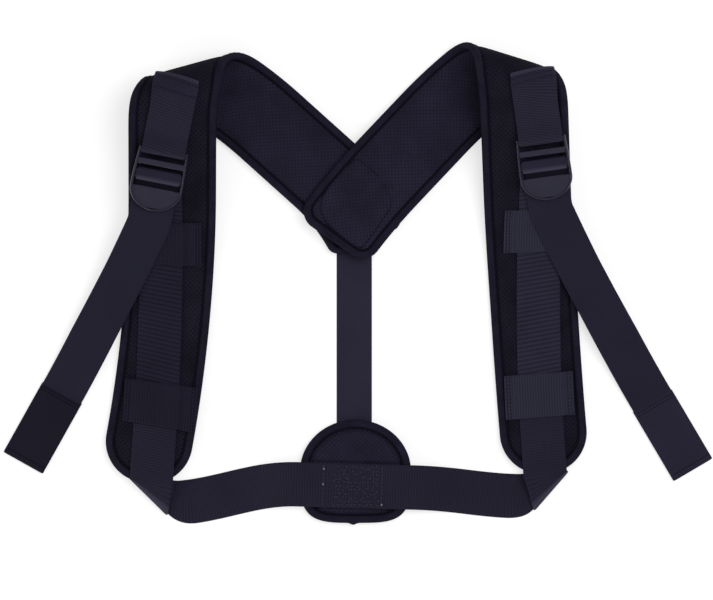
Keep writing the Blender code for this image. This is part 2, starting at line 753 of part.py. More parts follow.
def keepers(side, parent):
    """Webbing strips sewn at both ends across the panel, over the riser."""
    half = KEEPER_SPAN / 2
    inner = WEB_WIDTH / 2 + GAP
    seat = GAP + KEEPER_THICK / 2
    raised = GAP + WEB_THICK + GAP + KEEPER_THICK / 2
    step = np.linspace(0, 1, 4)
    right = np.concatenate([inner + KEEPER_STEP * step, [half - KEEPER_SEAM / 2, half]])
    t = np.concatenate([-right[::-1], right])
    up = seat + (raised - seat) * smooth(step)
    n = np.concatenate([[seat, seat], up, up[::-1], [seat, seat]])
    (t_low, n_low), (t_high, n_high) = offset_path(t, n, KEEPER_THICK / 2)
    places = (("upper", side.bar_at + side.keeper_drop), ("lower", PAD_LENGTH - side.keeper_from_tip))
    for part, place in places:
        s = place + np.linspace(-WEB_WIDTH / 2, WEB_WIDTH / 2, 5)[:, None]
        middle = lane(side, s)
        lower = on_pad(side, s, middle + t_low[None, :], -(PAD_HALF + n_low[None, :]))
        upper = on_pad(side, s, middle + t_high[None, :], -(PAD_HALF + n_high[None, :]))
        name = f"{side.name}_{part}_keeper"
        add_object(name, slab(name, lower, upper), WEBBING, parent)


def tail_path(side):
    """Grid along the free tail, from under the tab to the start of its hem."""
    length = side.tail_length - HEM_LENGTH
    d = np.linspace(0, length, 17)
    turn = side.tail_curl * smooth(d / TAIL_BEND)
    pace = d[1]
    v = TAB_START + TAB_LANDING + np.concatenate([[0], np.cumsum(np.cos(turn[1:]) * pace)])
    u = np.concatenate([[0], np.cumsum(np.sin(turn[1:]) * pace)])
    edge = np.linspace(-WEB_WIDTH / 2, WEB_WIDTH / 2, 4)[None, :]
    grid_u = u[:, None] + edge * np.cos(turn)[:, None]
    grid_v = v[:, None] - edge * np.sin(turn)[:, None]
    lift = smooth((grid_v - TAIL_LIFT[0]) / (TAIL_LIFT[1] - TAIL_LIFT[0]))
    points = on_strip(side, grid_u, grid_v, TAIL_N + (OVER_KEEPER_N - TAIL_N) * lift)
    # Past the panel it comes down to lie on the table beside it.
    down = PAD_THICK + OVER_KEEPER_N - HEM_TOP
    points[..., 2] -= down * smooth((d / length - TAIL_DROP) / (1 - TAIL_DROP))[:, None]
    return points


def across_normals(points):
    """Unit normals of a strip's stations, pointing up."""
    along = np.gradient(points.mean(axis=1), axis=0)
    across = points[:, -1] - points[:, 0]
    normal = np.cross(along, across)
    normal = normal / np.linalg.norm(normal, axis=1)[:, None]
    return normal * np.sign(normal[:, 2])[:, None]


def tail_strap(side, parent):
    points = tail_path(side)
    normal = across_normals(points)[:, None, :] * WEB_THICK / 2
    name = f"{side.name}_tail_strap"
    add_object(name, slab(name, points - normal, points + normal), WEBBING, parent)


def tail_hem(side, parent):
    """The doubled end of the tail: the webbing turned under and sewn back."""
    points = tail_path(side)
    middle = points.mean(axis=1)
    along = middle[-1] - middle[-2]
    along[2] = 0
    along = along / np.linalg.norm(along)
    across = np.cross((0, 0, 1), along)
    start = middle[-1] + along * GAP
    radius = (WEB_THICK + GAP) / 2
    low = WEB_THICK / 2
    turn = np.linspace(math.pi / 2, -math.pi / 2, 7)
    run = HEM_LENGTH - radius - WEB_THICK / 2
    d = np.concatenate([[0, run / 2], run + radius * np.cos(turn), [run / 2, 0]])
    z = np.concatenate([np.full(2, low + 2 * radius), low + radius + radius * np.sin(turn), np.full(2, low)])
    (d_low, z_low), (d_high, z_high) = offset_path(d, z, WEB_THICK / 2)
    grids = []
    for dd, zz in ((d_low, z_low), (d_high, z_high)):
        line = start[None, :2] + dd[:, None] * along[None, :2]
        edges = [line + side_share * WEB_WIDTH / 2 * across[None, :2] for side_share in (-1, 1)]
        grids.append(np.stack([np.column_stack([e, zz]) for e in edges], axis=1))
    name = f"{side.name}_tail_hem"
    origin = Matrix.Translation(Vector((start[0], start[1], low + radius)))
    add_object(name, slab(name, grids[0], grids[1]), WEBBING, parent, origin)
    return along


def crease(side):
    """Plan ends of the belt's corner fold, its outward direction and both strap directions."""
    tip = PAD_LENGTH + np.array([0, side.crease_past_tip])
    line = on_pad(side, tip, lane(side, tip), -PAD_HALF)[:, :2]
    into = (line[1] - line[0]) / np.linalg.norm(line[1] - line[0])
    belt = np.array([-side.sign * math.cos(side.crease_rise), math.sin(side.crease_rise)])
    outward = into - belt
    outward = outward / np.linalg.norm(outward)
    ridge = np.array([-outward[1], outward[0]]) * -side.sign
    reach = WEB_WIDTH / 2 / abs(into[0] * ridge[1] - into[1] * ridge[0])
    return line[1] - reach * ridge, line[1] + reach * ridge, outward, belt


def belt_corner(side):
    """Both edges and the normals of the belt from under the lower keeper round its corner."""
    half = WEB_WIDTH / 2
    first, second, outward, belt = crease(side)
    tip_edge = on_pad(side, np.array(PAD_LENGTH), np.array(side.corner_out + half), -PAD_HALF)[:2]
    if np.linalg.norm(first - tip_edge) > np.linalg.norm(second - tip_edge):
        first, second = second, first
    s = np.linspace(PAD_LENGTH - side.keeper_from_tip + GAP / 2, PAD_LENGTH - BELT_FLAT_END, 7)[:, None]
    offset = -(PAD_HALF + RISER_N)
    run = on_pad(side, s + np.zeros(2), lane(side, s) + np.array([half, -half]), offset)
    run_normal = np.tile([0.0, 0.0, 1.0], (len(s), 1))
    # The roll is full at the pad's rim and tight at the free edge.
    wide = (UNDER_STRAP + PAD_THICK + 2 * GAP) / 2
    radius = np.array([wide, CREASE_RADIUS])
    ends = np.stack([first, second])
    turn = np.linspace(0, math.pi, 9)
    roll_edges = []
    roll_normals = []
    for angle in turn:
        plan = ends + outward[None, :] * (radius * math.sin(angle))[:, None]
        z = WEB_THICK / 2 + radius * (1 + math.cos(angle))
        roll_edges.append(np.column_stack([plan, z]))
        roll_normals.append([*(outward * math.sin(angle)), math.cos(angle)])
    edges = np.concatenate([run, np.array(roll_edges)])
    normals = np.concatenate([run_normal, np.array(roll_normals)])
    return edges, normals, ends.mean(axis=0), belt


def belt_run(side, start, belt):
    """Edges of the flat belt from a corner to the lumbar pad's rim, rising on to the pad."""
    x_in = LUMBAR_CENTRE[0] + side.sign * (LUMBAR_HALF_WIDTH + BELT_MARGIN)
    aslant = side.sign * (LUMBAR_HALF_WIDTH + BELT_MARGIN) * math.tan(BELT_TILT)
    goal = np.array([x_in, LUMBAR_CENTRE[1] - BELT_BELOW_CENTRE - aslant])
    first = start + belt * CORNER_RUN - np.array([0, side.belt_sag])
    span = np.linalg.norm(goal - first)
    level = -side.sign * np.array([math.cos(BELT_TILT), -math.sin(BELT_TILT)])
    w = np.linspace(0, 1, 12)[:, None]
    line = (2 * w**3 - 3 * w**2 + 1) * first + (w**3 - 2 * w**2 + w) * span * belt
    line = line + (3 * w**2 - 2 * w**3) * goal + (w**3 - w**2) * span * level
    along = np.gradient(line, axis=0)
    along = along / np.linalg.norm(along, axis=1)[:, None]
    up = np.stack([-along[:, 1], along[:, 0]], axis=1)
    up = up * np.sign(up[:, 1])[:, None]
    away = np.abs(line[:, 0] - LUMBAR_CENTRE[0]) - LUMBAR_HALF_WIDTH - BELT_MARGIN
    z = WEB_THICK / 2 + (PAD_THICK + GAP) * (1 - smooth(away / BELT_CLIMB))
    top = np.column_stack([line + up * WEB_WIDTH / 2, z])
    low = np.column_stack([line - up * WEB_WIDTH / 2, z])
    return np.stack([top, low], axis=1)


def waist_belt(parent):
    """One webbing from keeper to keeper: down off the panels, round both corners, over the pad."""
    halves = []
    for side in (LEFT, RIGHT):
        edges, normals, start, belt = belt_corner(side)
        run = belt_run(side, start, belt)
        run_normals = across_normals(run) * -1
        halves.append((np.concatenate([edges, run]), np.concatenate([normals, run_normals])))
    edges = np.concatenate([halves[0][0], halves[1][0][::-1]])
    normals = np.concatenate([halves[0][1], halves[1][1][::-1]])[:, None, :] * WEB_THICK / 2
    add_object("waist_belt", slab("waist_belt", edges - normals, edges + normals), WEBBING, parent)


def spine_strap(parent):
    x = SPINE_X + np.array([-SPINE_WIDTH / 2, SPINE_WIDTH / 2])
    y = np.linspace(SPINE_TOP, LUMBAR_CENTRE[1] + LUMBAR_UP - SPINE_TUCK, 6)
    grid_x, grid_y = np.meshgrid(x, y)
    lower = np.stack([grid_x, grid_y, np.zeros_like(grid_x)], axis=-1)
    upper = lower + np.array([0, 0, WEB_THICK])
    add_object("spine_strap", slab("spine_strap", lower, upper), WEBBING, parent)


def lumbar_outline(count):
    """Round above, squared off below: an ellipse over a superellipse."""
    angle = np.linspace(0, 2 * math.pi, count, endpoint=False)
    power = np.where(np.sin(angle) >= 0, 1.0, 2 / LUMBAR_SQUARE)
    up = np.where(np.sin(angle) >= 0, LUMBAR_UP, LUMBAR_DOWN)
    x = LUMBAR_HALF_WIDTH * np.sign(np.cos(angle)) * np.abs(np.cos(angle)) ** power
    y = up * np.sign(np.sin(angle)) * np.abs(np.sin(angle)) ** power
    return np.stack([x, y], axis=1)


def on_lumbar(plan, height):
    """World points of the lumbar pad, whose top rim is raised on the spine strap."""
    rise_from = WEB_WIDTH / 2 - BELT_BELOW_CENTRE + BELT_MARGIN
    rise_to = LUMBAR_UP - SPINE_TUCK - BELT_MARGIN
    lift = UNDER_STRAP * smooth((plan[..., 1] - rise_from) / (rise_to - rise_from))
    z = PAD_HALF + height + lift
    x = plan[..., 0] + LUMBAR_CENTRE[0]
    y = plan[..., 1] + LUMBAR_CENTRE[1]
    return np.stack(np.broadcast_arrays(x, y, z), axis=-1)


def disc(name, plan, low, high):
    """A closed solid over rings of plan points, the last ring a single middle point."""
    rings, count = plan.shape[:2]
    points = []
    for height in (low, high):
        points.append(on_lumbar(plan, height[:, None]).reshape(-1, 3))
        points.append(on_lumbar(np.zeros((1, 2)), height[-1:]))
    layer = rings * count + 1
    around = np.arange(count)
    after = np.roll(around, -1)
    faces = []
    for base, flip in ((0, True), (layer, False)):
        for ring in range(rings - 1):
            a = base + ring * count
            halves = list(zip(a + around, a + after, a + count + after))
            halves += list(zip(a + around, a + count + after, a + count + around))
            faces += [q[::-1] for q in halves] if flip else halves
        a = base + (rings - 1) * count
        middle = base + rings * count
        fan = [(a + i, a + j, middle) for i, j in zip(around, after)]
        faces += [q[::-1] for q in fan] if flip else fan
    faces += list(zip(around, after, layer + after, layer + around))
    return closed_mesh(name, np.concatenate(points), faces)


def lumbar_pad(parent):
    """A small pad built like the shoulder pads: foam, two skins and a bound edge."""
    outline = lumbar_outline(36)
    normals = inward(outline)
    inset = TAPE + EDGE_PLAY
    rim = np.stack([outline + inset * normals, outline + CROWN_EDGE * normals])
    reach = np.linalg.norm(rim[1], axis=1)[:, None]
    # Inside the flat edge the rings shrink towards the middle, so that they can't cross at the corners.
    plan = np.concatenate([rim, [rim[1] * (1 - CROWN_EASE * part / reach) for part in (0.5, 1)]])
    share = np.array([0, 0, 0.5, 1])
    puff = FOAM_EDGE / 2 + (FOAM_MID - FOAM_EDGE) / 2 * share
    skin_in = puff + GAP
    skin_out = skin_in + SKIN
    layers = (
        ("foam", -puff, puff, FOAM),
        ("cover", skin_in, skin_out, FACE_FABRIC),
        ("lining", -skin_out, -skin_in, LINING_FABRIC),
    )
    for part, low, high, look in layers:
        name = f"lumbar_{part}"
        add_object(name, disc(name, plan, low, high), look, parent)
    section = tape_section()
    at = outline[:, None, :] + section[None, :, :1] * normals[:, None, :]
    rings = on_lumbar(at, section[None, :, 1])
    add_object("lumbar_binding", tube("lumbar_binding", rings), TAPE_FABRIC, parent)


def settle(harness):
    """Put the middle of the whole harness over the origin, on the table."""
    bpy.context.view_layer.update()
    corners = [item.matrix_world @ Vector(c) for item in harness.children for c in item.bound_box]
    corners = np.array(corners)
    middle = (corners.min(axis=0) + corners.max(axis=0)) / 2
    harness.location = (-middle[0], -middle[1], 0)
    bpy.context.view_layer.update()


def build():
    clear_scene()
    harness = bpy.data.objects.new("harness", None)
    bpy.context.scene.collection.objects.link(harness)
    pulls = {}
    for side in (LEFT, RIGHT):
        pad_layers(side, harness)
        pad_binding(side, harness)
        riser_strap(side, harness)
        keepers(side, harness)
        anchor_strap(side, harness)
        at = bar_matrix(side)
        buckle(side, harness, at)
        strap_wrap(side, harness, at)
        tail_strap(side, harness)
        pulls[side.name] = tail_hem(side, harness)
    waist_belt(harness)
    spine_strap(harness)
    lumbar_pad(harness)
    settle(harness)
    for name, pull in pulls.items():
        bar = bpy.data.objects[f"{name}_buckle"].matrix_world
        for label, vector in (("top bar", bar.col[3]), ("across", bar.col[0]), ("pull", pull)):
            print(name, label, [round(a, 6) for a in vector[:3]])
    print("moved by", [round(a, 6) for a in harness.location])


build()
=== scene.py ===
# %% [markdown]
# # A posture corrector harness on a white table
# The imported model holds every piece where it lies. It is loaded first, because all the pieces below
# are worked out in its metres and take the place of its nodes.

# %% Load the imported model
import math

import bpy
import numpy as np
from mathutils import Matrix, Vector


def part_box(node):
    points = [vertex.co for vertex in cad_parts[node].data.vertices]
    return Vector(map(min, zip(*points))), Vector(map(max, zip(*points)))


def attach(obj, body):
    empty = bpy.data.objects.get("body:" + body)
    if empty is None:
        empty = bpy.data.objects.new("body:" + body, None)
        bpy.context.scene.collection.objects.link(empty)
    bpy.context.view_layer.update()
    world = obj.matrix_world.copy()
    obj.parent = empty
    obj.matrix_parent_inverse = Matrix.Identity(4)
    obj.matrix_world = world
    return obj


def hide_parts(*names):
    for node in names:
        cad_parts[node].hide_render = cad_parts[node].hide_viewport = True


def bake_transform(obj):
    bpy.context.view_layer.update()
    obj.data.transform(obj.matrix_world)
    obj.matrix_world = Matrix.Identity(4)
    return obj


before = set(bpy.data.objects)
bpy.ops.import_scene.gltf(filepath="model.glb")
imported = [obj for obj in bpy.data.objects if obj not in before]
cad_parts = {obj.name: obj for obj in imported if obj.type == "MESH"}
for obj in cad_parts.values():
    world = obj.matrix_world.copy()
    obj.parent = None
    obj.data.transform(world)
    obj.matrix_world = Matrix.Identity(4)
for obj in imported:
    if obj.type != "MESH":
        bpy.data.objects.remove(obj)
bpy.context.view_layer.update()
print("packed nodes:", len(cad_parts))

# %% [markdown]
# ## Camera and light
# The photograph looks straight down from far away, so the camera is high with a long lens: near
# and far parts then keep almost the same scale. A plain white sky gives the soft light of a tent,
# and one broad lamp from the upper right makes that side a little lighter, as in the photograph. A
# low strip lamp at the lower left adds little light, but draws the thin bright lines on the buckles.

# %% Camera and light
PIXEL = 0.00087  # metres to a pixel of the photograph
PICTURE_WIDTH = 713  # pixels
CAMERA_HEIGHT = 3.0
SENSOR = 36.0  # millimetres
TARGET = (-0.0001, -0.0148, 0.004)

scene = bpy.context.scene
scene.view_settings.view_transform = "Standard"
camera = bpy.data.objects.new("overhead camera", bpy.data.cameras.new("overhead camera"))
camera.location = (TARGET[0], TARGET[1], CAMERA_HEIGHT)
camera.data.sensor_width = SENSOR
camera.data.lens = SENSOR * (CAMERA_HEIGHT - TARGET[2]) / (PICTURE_WIDTH * PIXEL)
scene.collection.objects.link(camera)
scene.camera = camera

world = bpy.data.worlds.new("white tent")
scene.world = world
world.use_nodes = True
world.node_tree.nodes["Background"].inputs["Color"].default_value = (1.0, 1.0, 1.0, 1.0)
world.node_tree.nodes["Background"].inputs["Strength"].default_value = 0.42


def area_lamp(name, watts, place):
    """An area lamp that faces the middle of the picture."""
    made = bpy.data.objects.new(name, bpy.data.lights.new(name, "AREA"))
    made.data.energy = watts
    made.location = place
    made.rotation_euler = (Vector(TARGET) - made.location).to_track_quat("-Z", "Y").to_euler()
    scene.collection.objects.link(made)
    return made


broad = area_lamp("broad lamp", 13.2, (0.60, 0.30, 1.35))
broad.data.size = 1.1
broad.visible_glossy = False  # so that only the sky and the strip show in the buckles
strip = area_lamp("low strip lamp", 5.5, (-0.85, -0.68, 0.42))
strip.data.shape = "RECTANGLE"
strip.data.size = 1.7
strip.data.size_y = 0.14
print("lens", round(camera.data.lens, 1), "mm")

# %% [markdown]
# ## Small helpers for materials
# Colours are written as the hex values of a screen and turned to the linear values that a shader
# works with. One function adds a node, sets its fields and joins its inputs; everything else in a
# material is then a short list of such calls.

# %% Helpers for materials
def hex_colour(code):
    """Linear colour of an sRGB hex code: each channel by the standard sRGB curve."""
    srgb = np.array([int(code[i:i + 2], 16) for i in (1, 3, 5)]) / 255
    linear = np.where(srgb <= 0.04045, srgb / 12.92, ((srgb + 0.055) / 1.055) ** 2.4)
    return (*linear.tolist(), 1.0)


def join(tree, made, inputs):
    """Gives a node's inputs their values, or links where the value is a socket or a node. A node
    stands for the first of its outputs that is in use."""
    for key, value in inputs.items():
        if isinstance(value, bpy.types.Node):
            value = next(socket for socket in value.outputs if socket.enabled)
        if isinstance(value, bpy.types.NodeSocket):
            tree.links.new(value, made.inputs[key])
        else:
            made.inputs[key].default_value = value


def put(tree, kind, inputs=None, **fields):
    """A node with its fields set and its inputs joined."""
    made = tree.nodes.new(kind)
    for key, value in fields.items():
        setattr(made, key, value)
    join(tree, made, inputs or {})
    return made


def new_material(name):
    """A material, its tree, its shader and the place of each point on the piece."""
    made = bpy.data.materials.new(name)
    made.use_nodes = True
    where = put(made.node_tree, "ShaderNodeTexCoord").outputs["Object"]
    return made, made.node_tree, made.node_tree.nodes["Principled BSDF"], where


def radians_per_metre(repeat_mm):
    """How fast a sine turns along a pattern that repeats every so many millimetres."""
    return 2 * math.pi / (repeat_mm * 0.001)


print("material helpers ready")

# %% [markdown]
# ## Webbing
# The harness is black with a blue cast, and its materials differ by their surface and by painted light
# and shade. Most of it is woven polypropylene webbing. Its ribs run across it and its yarns along it,
# and how strongly each shows depends on how tight the length is pulled and how it is turned to the
# light, so each strap has its own pitch and strength. The pattern is laid out in metres on the piece's
# own map, which runs across and along the strap, so that it bends with it.

# %% Webbing
FOLD_HIGHLIGHT = "#3c3a49"  # painted highlight where a fold or crest faces the light


def webbing_material(name, light, dark, rib_mm, slant=0.0, rib=1.0, yarn=0.3, yarn_mm=1.9, lightened=0.0):
    """Polypropylene webbing: woven ribs across it and yarns along it, which catch the light on top
    and are dark between. They are drawn every two to four millimetres, a little coarser than the
    real weave, so that they show in the picture. Patches some 40 mm wide and a fuzz of about 1 mm
    keep it from looking printed. Where the map starts, a fold or crest is painted paler, as a painted
    highlight, by up to the share lightened."""
    made, tree, shader, where = new_material(name)
    spot = put(tree, "ShaderNodeSeparateXYZ", {0: put(tree, "ShaderNodeUVMap", uv_map="lay")})
    across, along = spot.outputs[0], spot.outputs[1]
    lean = put(tree, "ShaderNodeMath", {0: across, 1: slant, 2: along}, operation="MULTIPLY_ADD")
    ribs = put(tree, "ShaderNodeMath", {0: lean, 1: radians_per_metre(rib_mm)}, operation="MULTIPLY")
    ribs = put(tree, "ShaderNodeMath", {0: ribs}, operation="SINE")
    ribs = put(tree, "ShaderNodeMath", {0: ribs, 1: rib}, operation="MULTIPLY")
    yarns = put(tree, "ShaderNodeMath", {0: across, 1: radians_per_metre(yarn_mm)}, operation="MULTIPLY")
    yarns = put(tree, "ShaderNodeMath", {0: yarns}, operation="SINE")
    height = put(tree, "ShaderNodeMath", {0: yarns, 1: yarn, 2: ribs}, operation="MULTIPLY_ADD")
    patch = put(tree, "ShaderNodeTexNoise", {"Vector": where, "Scale": 26.0, "Detail": 3.0})
    fuzz = put(tree, "ShaderNodeTexNoise", {"Vector": where, "Scale": 900.0, "Detail": 2.0})
    tone = put(tree, "ShaderNodeMapRange", {0: height, 1: -1.3, 2: 1.3, 3: 0.05, 4: 0.7})
    tone = put(tree, "ShaderNodeMath", {0: patch, 1: 0.55, 2: tone}, operation="MULTIPLY_ADD")
    tone = put(tree, "ShaderNodeMath", {0: fuzz, 1: 0.35, 2: tone}, operation="MULTIPLY_ADD")
    tone = put(tree, "ShaderNodeMath", {0: tone, 1: 0.22}, operation="SUBTRACT")
    weave = put(tree, "ShaderNodeMix", {0: tone, 6: hex_colour(dark), 7: hex_colour(light)},
                data_type="RGBA", clamp_factor=False)
    # The painted highlight: full within 1 mm of the map's start, fading out by 4.2 mm from it.
    fold = put(tree, "ShaderNodeMath", {0: along}, operation="ABSOLUTE")
    fold = put(tree, "ShaderNodeMapRange", {0: fold, 1: 0.001, 2: 0.0042, 3: lightened, 4: 0.0})
    colour = put(tree, "ShaderNodeMix", {0: fold, 6: weave, 7: hex_colour(FOLD_HIGHLIGHT)}, data_type="RGBA")
    bump = put(tree, "ShaderNodeBump", {"Height": height, "Strength": 0.5, "Distance": 0.0003})
    join(tree, shader, {"Base Color": colour, "Normal": bump, "Roughness": 0.62, "Specular IOR Level": 0.10})
    return made


# The belt is evenly ribbed and the risers are rippled by their pull. The anchor straps are sewn down
# hard, so they look twilled. The tails and hems lie loose and show their yarns. Where the strap goes
# down into the buckle's slot it is painted darkest, as painted shade. The belt's corner folds, the crest
# over the grip bar and the anchor's turn round the top bar are painted paler, as painted highlights.
# The risers, keepers and tail hems of the right side are painted lighter, as painted light from the
# lamp on the right, and those of the left side darker, as painted shade.
belt_webbing = webbing_material("ribbed polypropylene webbing", "#252334", "#17151f", 2.3, lightened=0.85)
strap_webbing = webbing_material("smooth polypropylene webbing", "#2d2b3c", "#1f1d2a", 2.0, rib=0.5)
# Painted shade: the strap where it goes down into the buckle's slot.
slot_shade_webbing = webbing_material("polypropylene webbing in painted slot shade", "#161420", "#0d0b14", 2.0, rib=0.4)
turn_webbing = webbing_material("creased polypropylene webbing", "#272536", "#191724", 2.0, rib=0.4, lightened=0.9)
# The anchor's turned-down hem is drawn paler than the strap.
hem_webbing = webbing_material("paler polypropylene webbing of the hem", "#363444", "#22202d", 2.0, rib=0.4)
LOOSE = dict(rib=0.12, yarn=0.42, yarn_mm=2.4)
TWILL = dict(yarn=0.16, yarn_mm=2.6)
tail_webbing = webbing_material("loose polypropylene webbing", "#242233", "#181621", 2.0, **LOOSE)
# Painted light and shade: the right riser is painted lighter and the left one darker.
riser_webbing_by_light = {
    "left": webbing_material("left rippled polypropylene webbing in painted shade", "#222031", "#0c0a13", 3.8, 0.12),
    "right": webbing_material("right rippled polypropylene webbing in painted light", "#2d2b3d", "#110f18", 3.8, 0.12),
}
sewn_webbing = {
    "left": webbing_material("left twilled polypropylene webbing", "#2a2839", "#13111b", 2.35, -0.14,
                             lightened=0.5, **TWILL),
    "right": webbing_material("right twilled polypropylene webbing", "#2a2839", "#14121c", 2.35, 0.26,
                              lightened=0.35, **TWILL),
}
# Painted light and shade: the right keepers are painted lighter and the left ones darker.
keeper_webbing_by_light = {
    "left": webbing_material("left short polypropylene webbing in painted shade", "#1e1c2c", "#13111b", 2.3),
    "right": webbing_material("right short polypropylene webbing in painted light", "#2f2e3f", "#1d1c26", 2.3),
}
# Painted light and shade: the right tail's doubled end is painted lighter and the left one's darker.
end_webbing_by_light = {
    "left": webbing_material("left doubled polypropylene webbing in painted shade", "#1b1928", "#110f19", 2.0, **LOOSE),
    "right": webbing_material("right doubled polypropylene webbing in painted light", "#282637", "#1b1925", 2.0, **LOOSE),
}
print("webbing materials made")

# %% [markdown]
# ## Knit laminate
# Both skins of the pads are a knit bonded to thin foam and punched with small holes. A voronoi
# pattern without randomness is a plain grid of cells; turned by 45 degrees it gives the staggered
# rows, and the distance from each cell's middle is a round hole with a soft edge.

# %% Knit laminate with punched holes
CELLS = 345.0  # to a metre: a hole is 2.9 mm from its slanting neighbours and 4.1 mm from the next in its row


def knit_material(name, light, dark, hole):
    """Neoprene laminate faced with knit: a soft matt face, punched with small holes in staggered
    rows, so that it reads as rows of dark dots. The holes are painted darker, for the dark foam in them
    and painted shade inside them. Its pile is fine, under a millimetre, on patches some 30 mm wide."""
    made, tree, shader, where = new_material(name)
    grid = put(tree, "ShaderNodeMapping", {"Vector": put(tree, "ShaderNodeUVMap", uv_map="lay"),
                                           "Rotation": (0.0, 0.0, math.radians(45)), "Scale": (CELLS,) * 3})
    cells = put(tree, "ShaderNodeTexVoronoi", {"Vector": grid, "Scale": 1.0, "Randomness": 0.0},
                voronoi_dimensions="2D")
    punched = put(tree, "ShaderNodeMapRange", {0: cells, 1: 0.16, 2: 0.27, 3: 1.0, 4: 0.0})
    patch = put(tree, "ShaderNodeTexNoise", {"Vector": where, "Scale": 34.0, "Detail": 4.0})
    pile = put(tree, "ShaderNodeTexNoise", {"Vector": where, "Scale": 1100.0, "Detail": 2.0})
    tone = put(tree, "ShaderNodeMath", {0: pile, 1: 0.6, 2: patch}, operation="MULTIPLY_ADD")
    tone = put(tree, "ShaderNodeMapRange", {0: tone, 1: 0.5, 2: 1.1, 3: 0.0, 4: 1.0})
    face = put(tree, "ShaderNodeMix", {0: tone, 6: hex_colour(dark), 7: hex_colour(light)}, data_type="RGBA")
    # The holes' darker colour: dark foam and painted shade inside them.
    colour = put(tree, "ShaderNodeMix", {0: punched, 6: face, 7: hex_colour(hole)}, data_type="RGBA")
    depth = put(tree, "ShaderNodeMath", {0: punched, 1: -1.0, 2: pile}, operation="MULTIPLY_ADD")
    bump = put(tree, "ShaderNodeBump", {"Height": depth, "Strength": 0.55, "Distance": 0.0005})
    join(tree, shader, {"Base Color": colour, "Normal": bump, "Roughness": 0.85, "Specular IOR Level": 0.06})
    return made


lining_knit = knit_material("perforated lining knit", "#282637", "#1a1824", "#181622")
cover_knit = knit_material("perforated face knit", "#201e2b", "#110f18", "#0d0b13")
print("knit materials made")

# %% [markdown]
# ## Binding tape
# The pads' edges are bound with a thin woven tape. It is drawn like the webbing but finer, and it is
# painted darker along the stitched line, as painted shade in the groove there, which the tape's map
# finds by its distance from the edge.

# %% Binding tape
STITCH_SHADE_BAND = (0.0054, 0.0066)  # from the pad's edge, where the tape is painted darker towards its stitches, as painted shade


def tape_material():
    """Woven binding tape: a close plain weave, darker than the webbing, and painted darkest along its
    inner edge, as painted shade in the groove where the stitches sink it. Its ribs are 1.7 mm apart,
    coarser than real ones, to show."""
    made, tree, shader, where = new_material("black woven binding tape")
    spot = put(tree, "ShaderNodeSeparateXYZ", {0: put(tree, "ShaderNodeUVMap", uv_map="lay")})
    inset, along = spot.outputs[0], spot.outputs[1]
    rib = put(tree, "ShaderNodeMath", {0: along, 1: radians_per_metre(1.7)}, operation="MULTIPLY")
    rib = put(tree, "ShaderNodeMath", {0: rib}, operation="SINE")
    patch = put(tree, "ShaderNodeTexNoise", {"Vector": where, "Scale": 90.0, "Detail": 3.0})
    tone = put(tree, "ShaderNodeMath", {0: rib, 1: 0.12, 2: patch}, operation="MULTIPLY_ADD")
    face = put(tree, "ShaderNodeMix", {0: tone, 6: hex_colour("#12101a"), 7: hex_colour("#232131")},
               data_type="RGBA")
    # Painted shade in the groove along the stitches.
    stitch_shade = put(tree, "ShaderNodeMapRange", {0: inset, 1: STITCH_SHADE_BAND[0], 2: STITCH_SHADE_BAND[1], 3: 0.0, 4: 1.0})
    colour = put(tree, "ShaderNodeMix", {0: stitch_shade, 6: face, 7: hex_colour("#0e0c15")}, data_type="RGBA")
    bump = put(tree, "ShaderNodeBump", {"Height": rib, "Strength": 0.3, "Distance": 0.0002})
    join(tree, shader, {"Base Color": colour, "Normal": bump, "Roughness": 0.7, "Specular IOR Level": 0.04})
    return made


binding_tape = tape_material()
print("tape material made")

# %% [markdown]
# ## Thread and acetal
# Sewing thread is too thin for a pattern to show, so a fine noise stands for its twist. The buckles
# are moulded acetal: smooth enough to show the sky and the strip lamp, and a little rough from the
# spark texture of the mould, which keeps the reflections soft.

# %% Thread and acetal
def thread_material(name, light, dark):
    """Polyester sewing thread: twisted plies, seen as short light and dark slants under 1 mm long."""
    made, tree, shader, where = new_material(name)
    plies = put(tree, "ShaderNodeTexNoise", {"Vector": where, "Scale": 1400.0, "Detail": 1.0})
    colour = put(tree, "ShaderNodeMix", {0: plies, 6: hex_colour(dark), 7: hex_colour(light)},
                 data_type="RGBA")
    join(tree, shader, {"Base Color": colour, "Roughness": 0.6, "Specular IOR Level": 0.06})
    return made


def acetal_material():
    """Moulded acetal: near black with a satin skin, so that most of what is seen is the pale sky in
    it. Fine spark texture from the mould, under 1 mm, breaks the reflection up."""
    made, tree, shader, where = new_material("black moulded acetal")
    spark = put(tree, "ShaderNodeTexNoise", {"Vector": where, "Scale": 1600.0, "Detail": 2.0})
    flow = put(tree, "ShaderNodeTexNoise", {"Vector": where, "Scale": 120.0, "Detail": 2.0})
    colour = put(tree, "ShaderNodeMix", {0: flow, 6: hex_colour("#211f30"), 7: hex_colour("#272536")},
                 data_type="RGBA")
    rough = put(tree, "ShaderNodeMapRange", {0: flow, 1: 0.3, 2: 0.7, 3: 0.16, 4: 0.24})
    bump = put(tree, "ShaderNodeBump", {"Height": spark, "Strength": 0.12, "Distance": 0.0001})
    join(tree, shader, {"Base Color": colour, "Roughness": rough, "Normal": bump, "IOR": 1.48,
                        "Specular IOR Level": 0.42})
    return made


dark_thread = thread_material("black polyester thread", "#14121c", "#08070c")
faint_thread = thread_material("matt polyester thread", "#1c1a27", "#100e17")
grey_thread = thread_material("worn grey polyester thread", "#454355", "#282634")
# Painted highlight: pale thread that stands for three glints on the belt's sewing.
glint_thread = thread_material("frayed pale polyester thread", "#8f8d9b", "#5b5967")
acetal = acetal_material()
print("thread and acetal made")

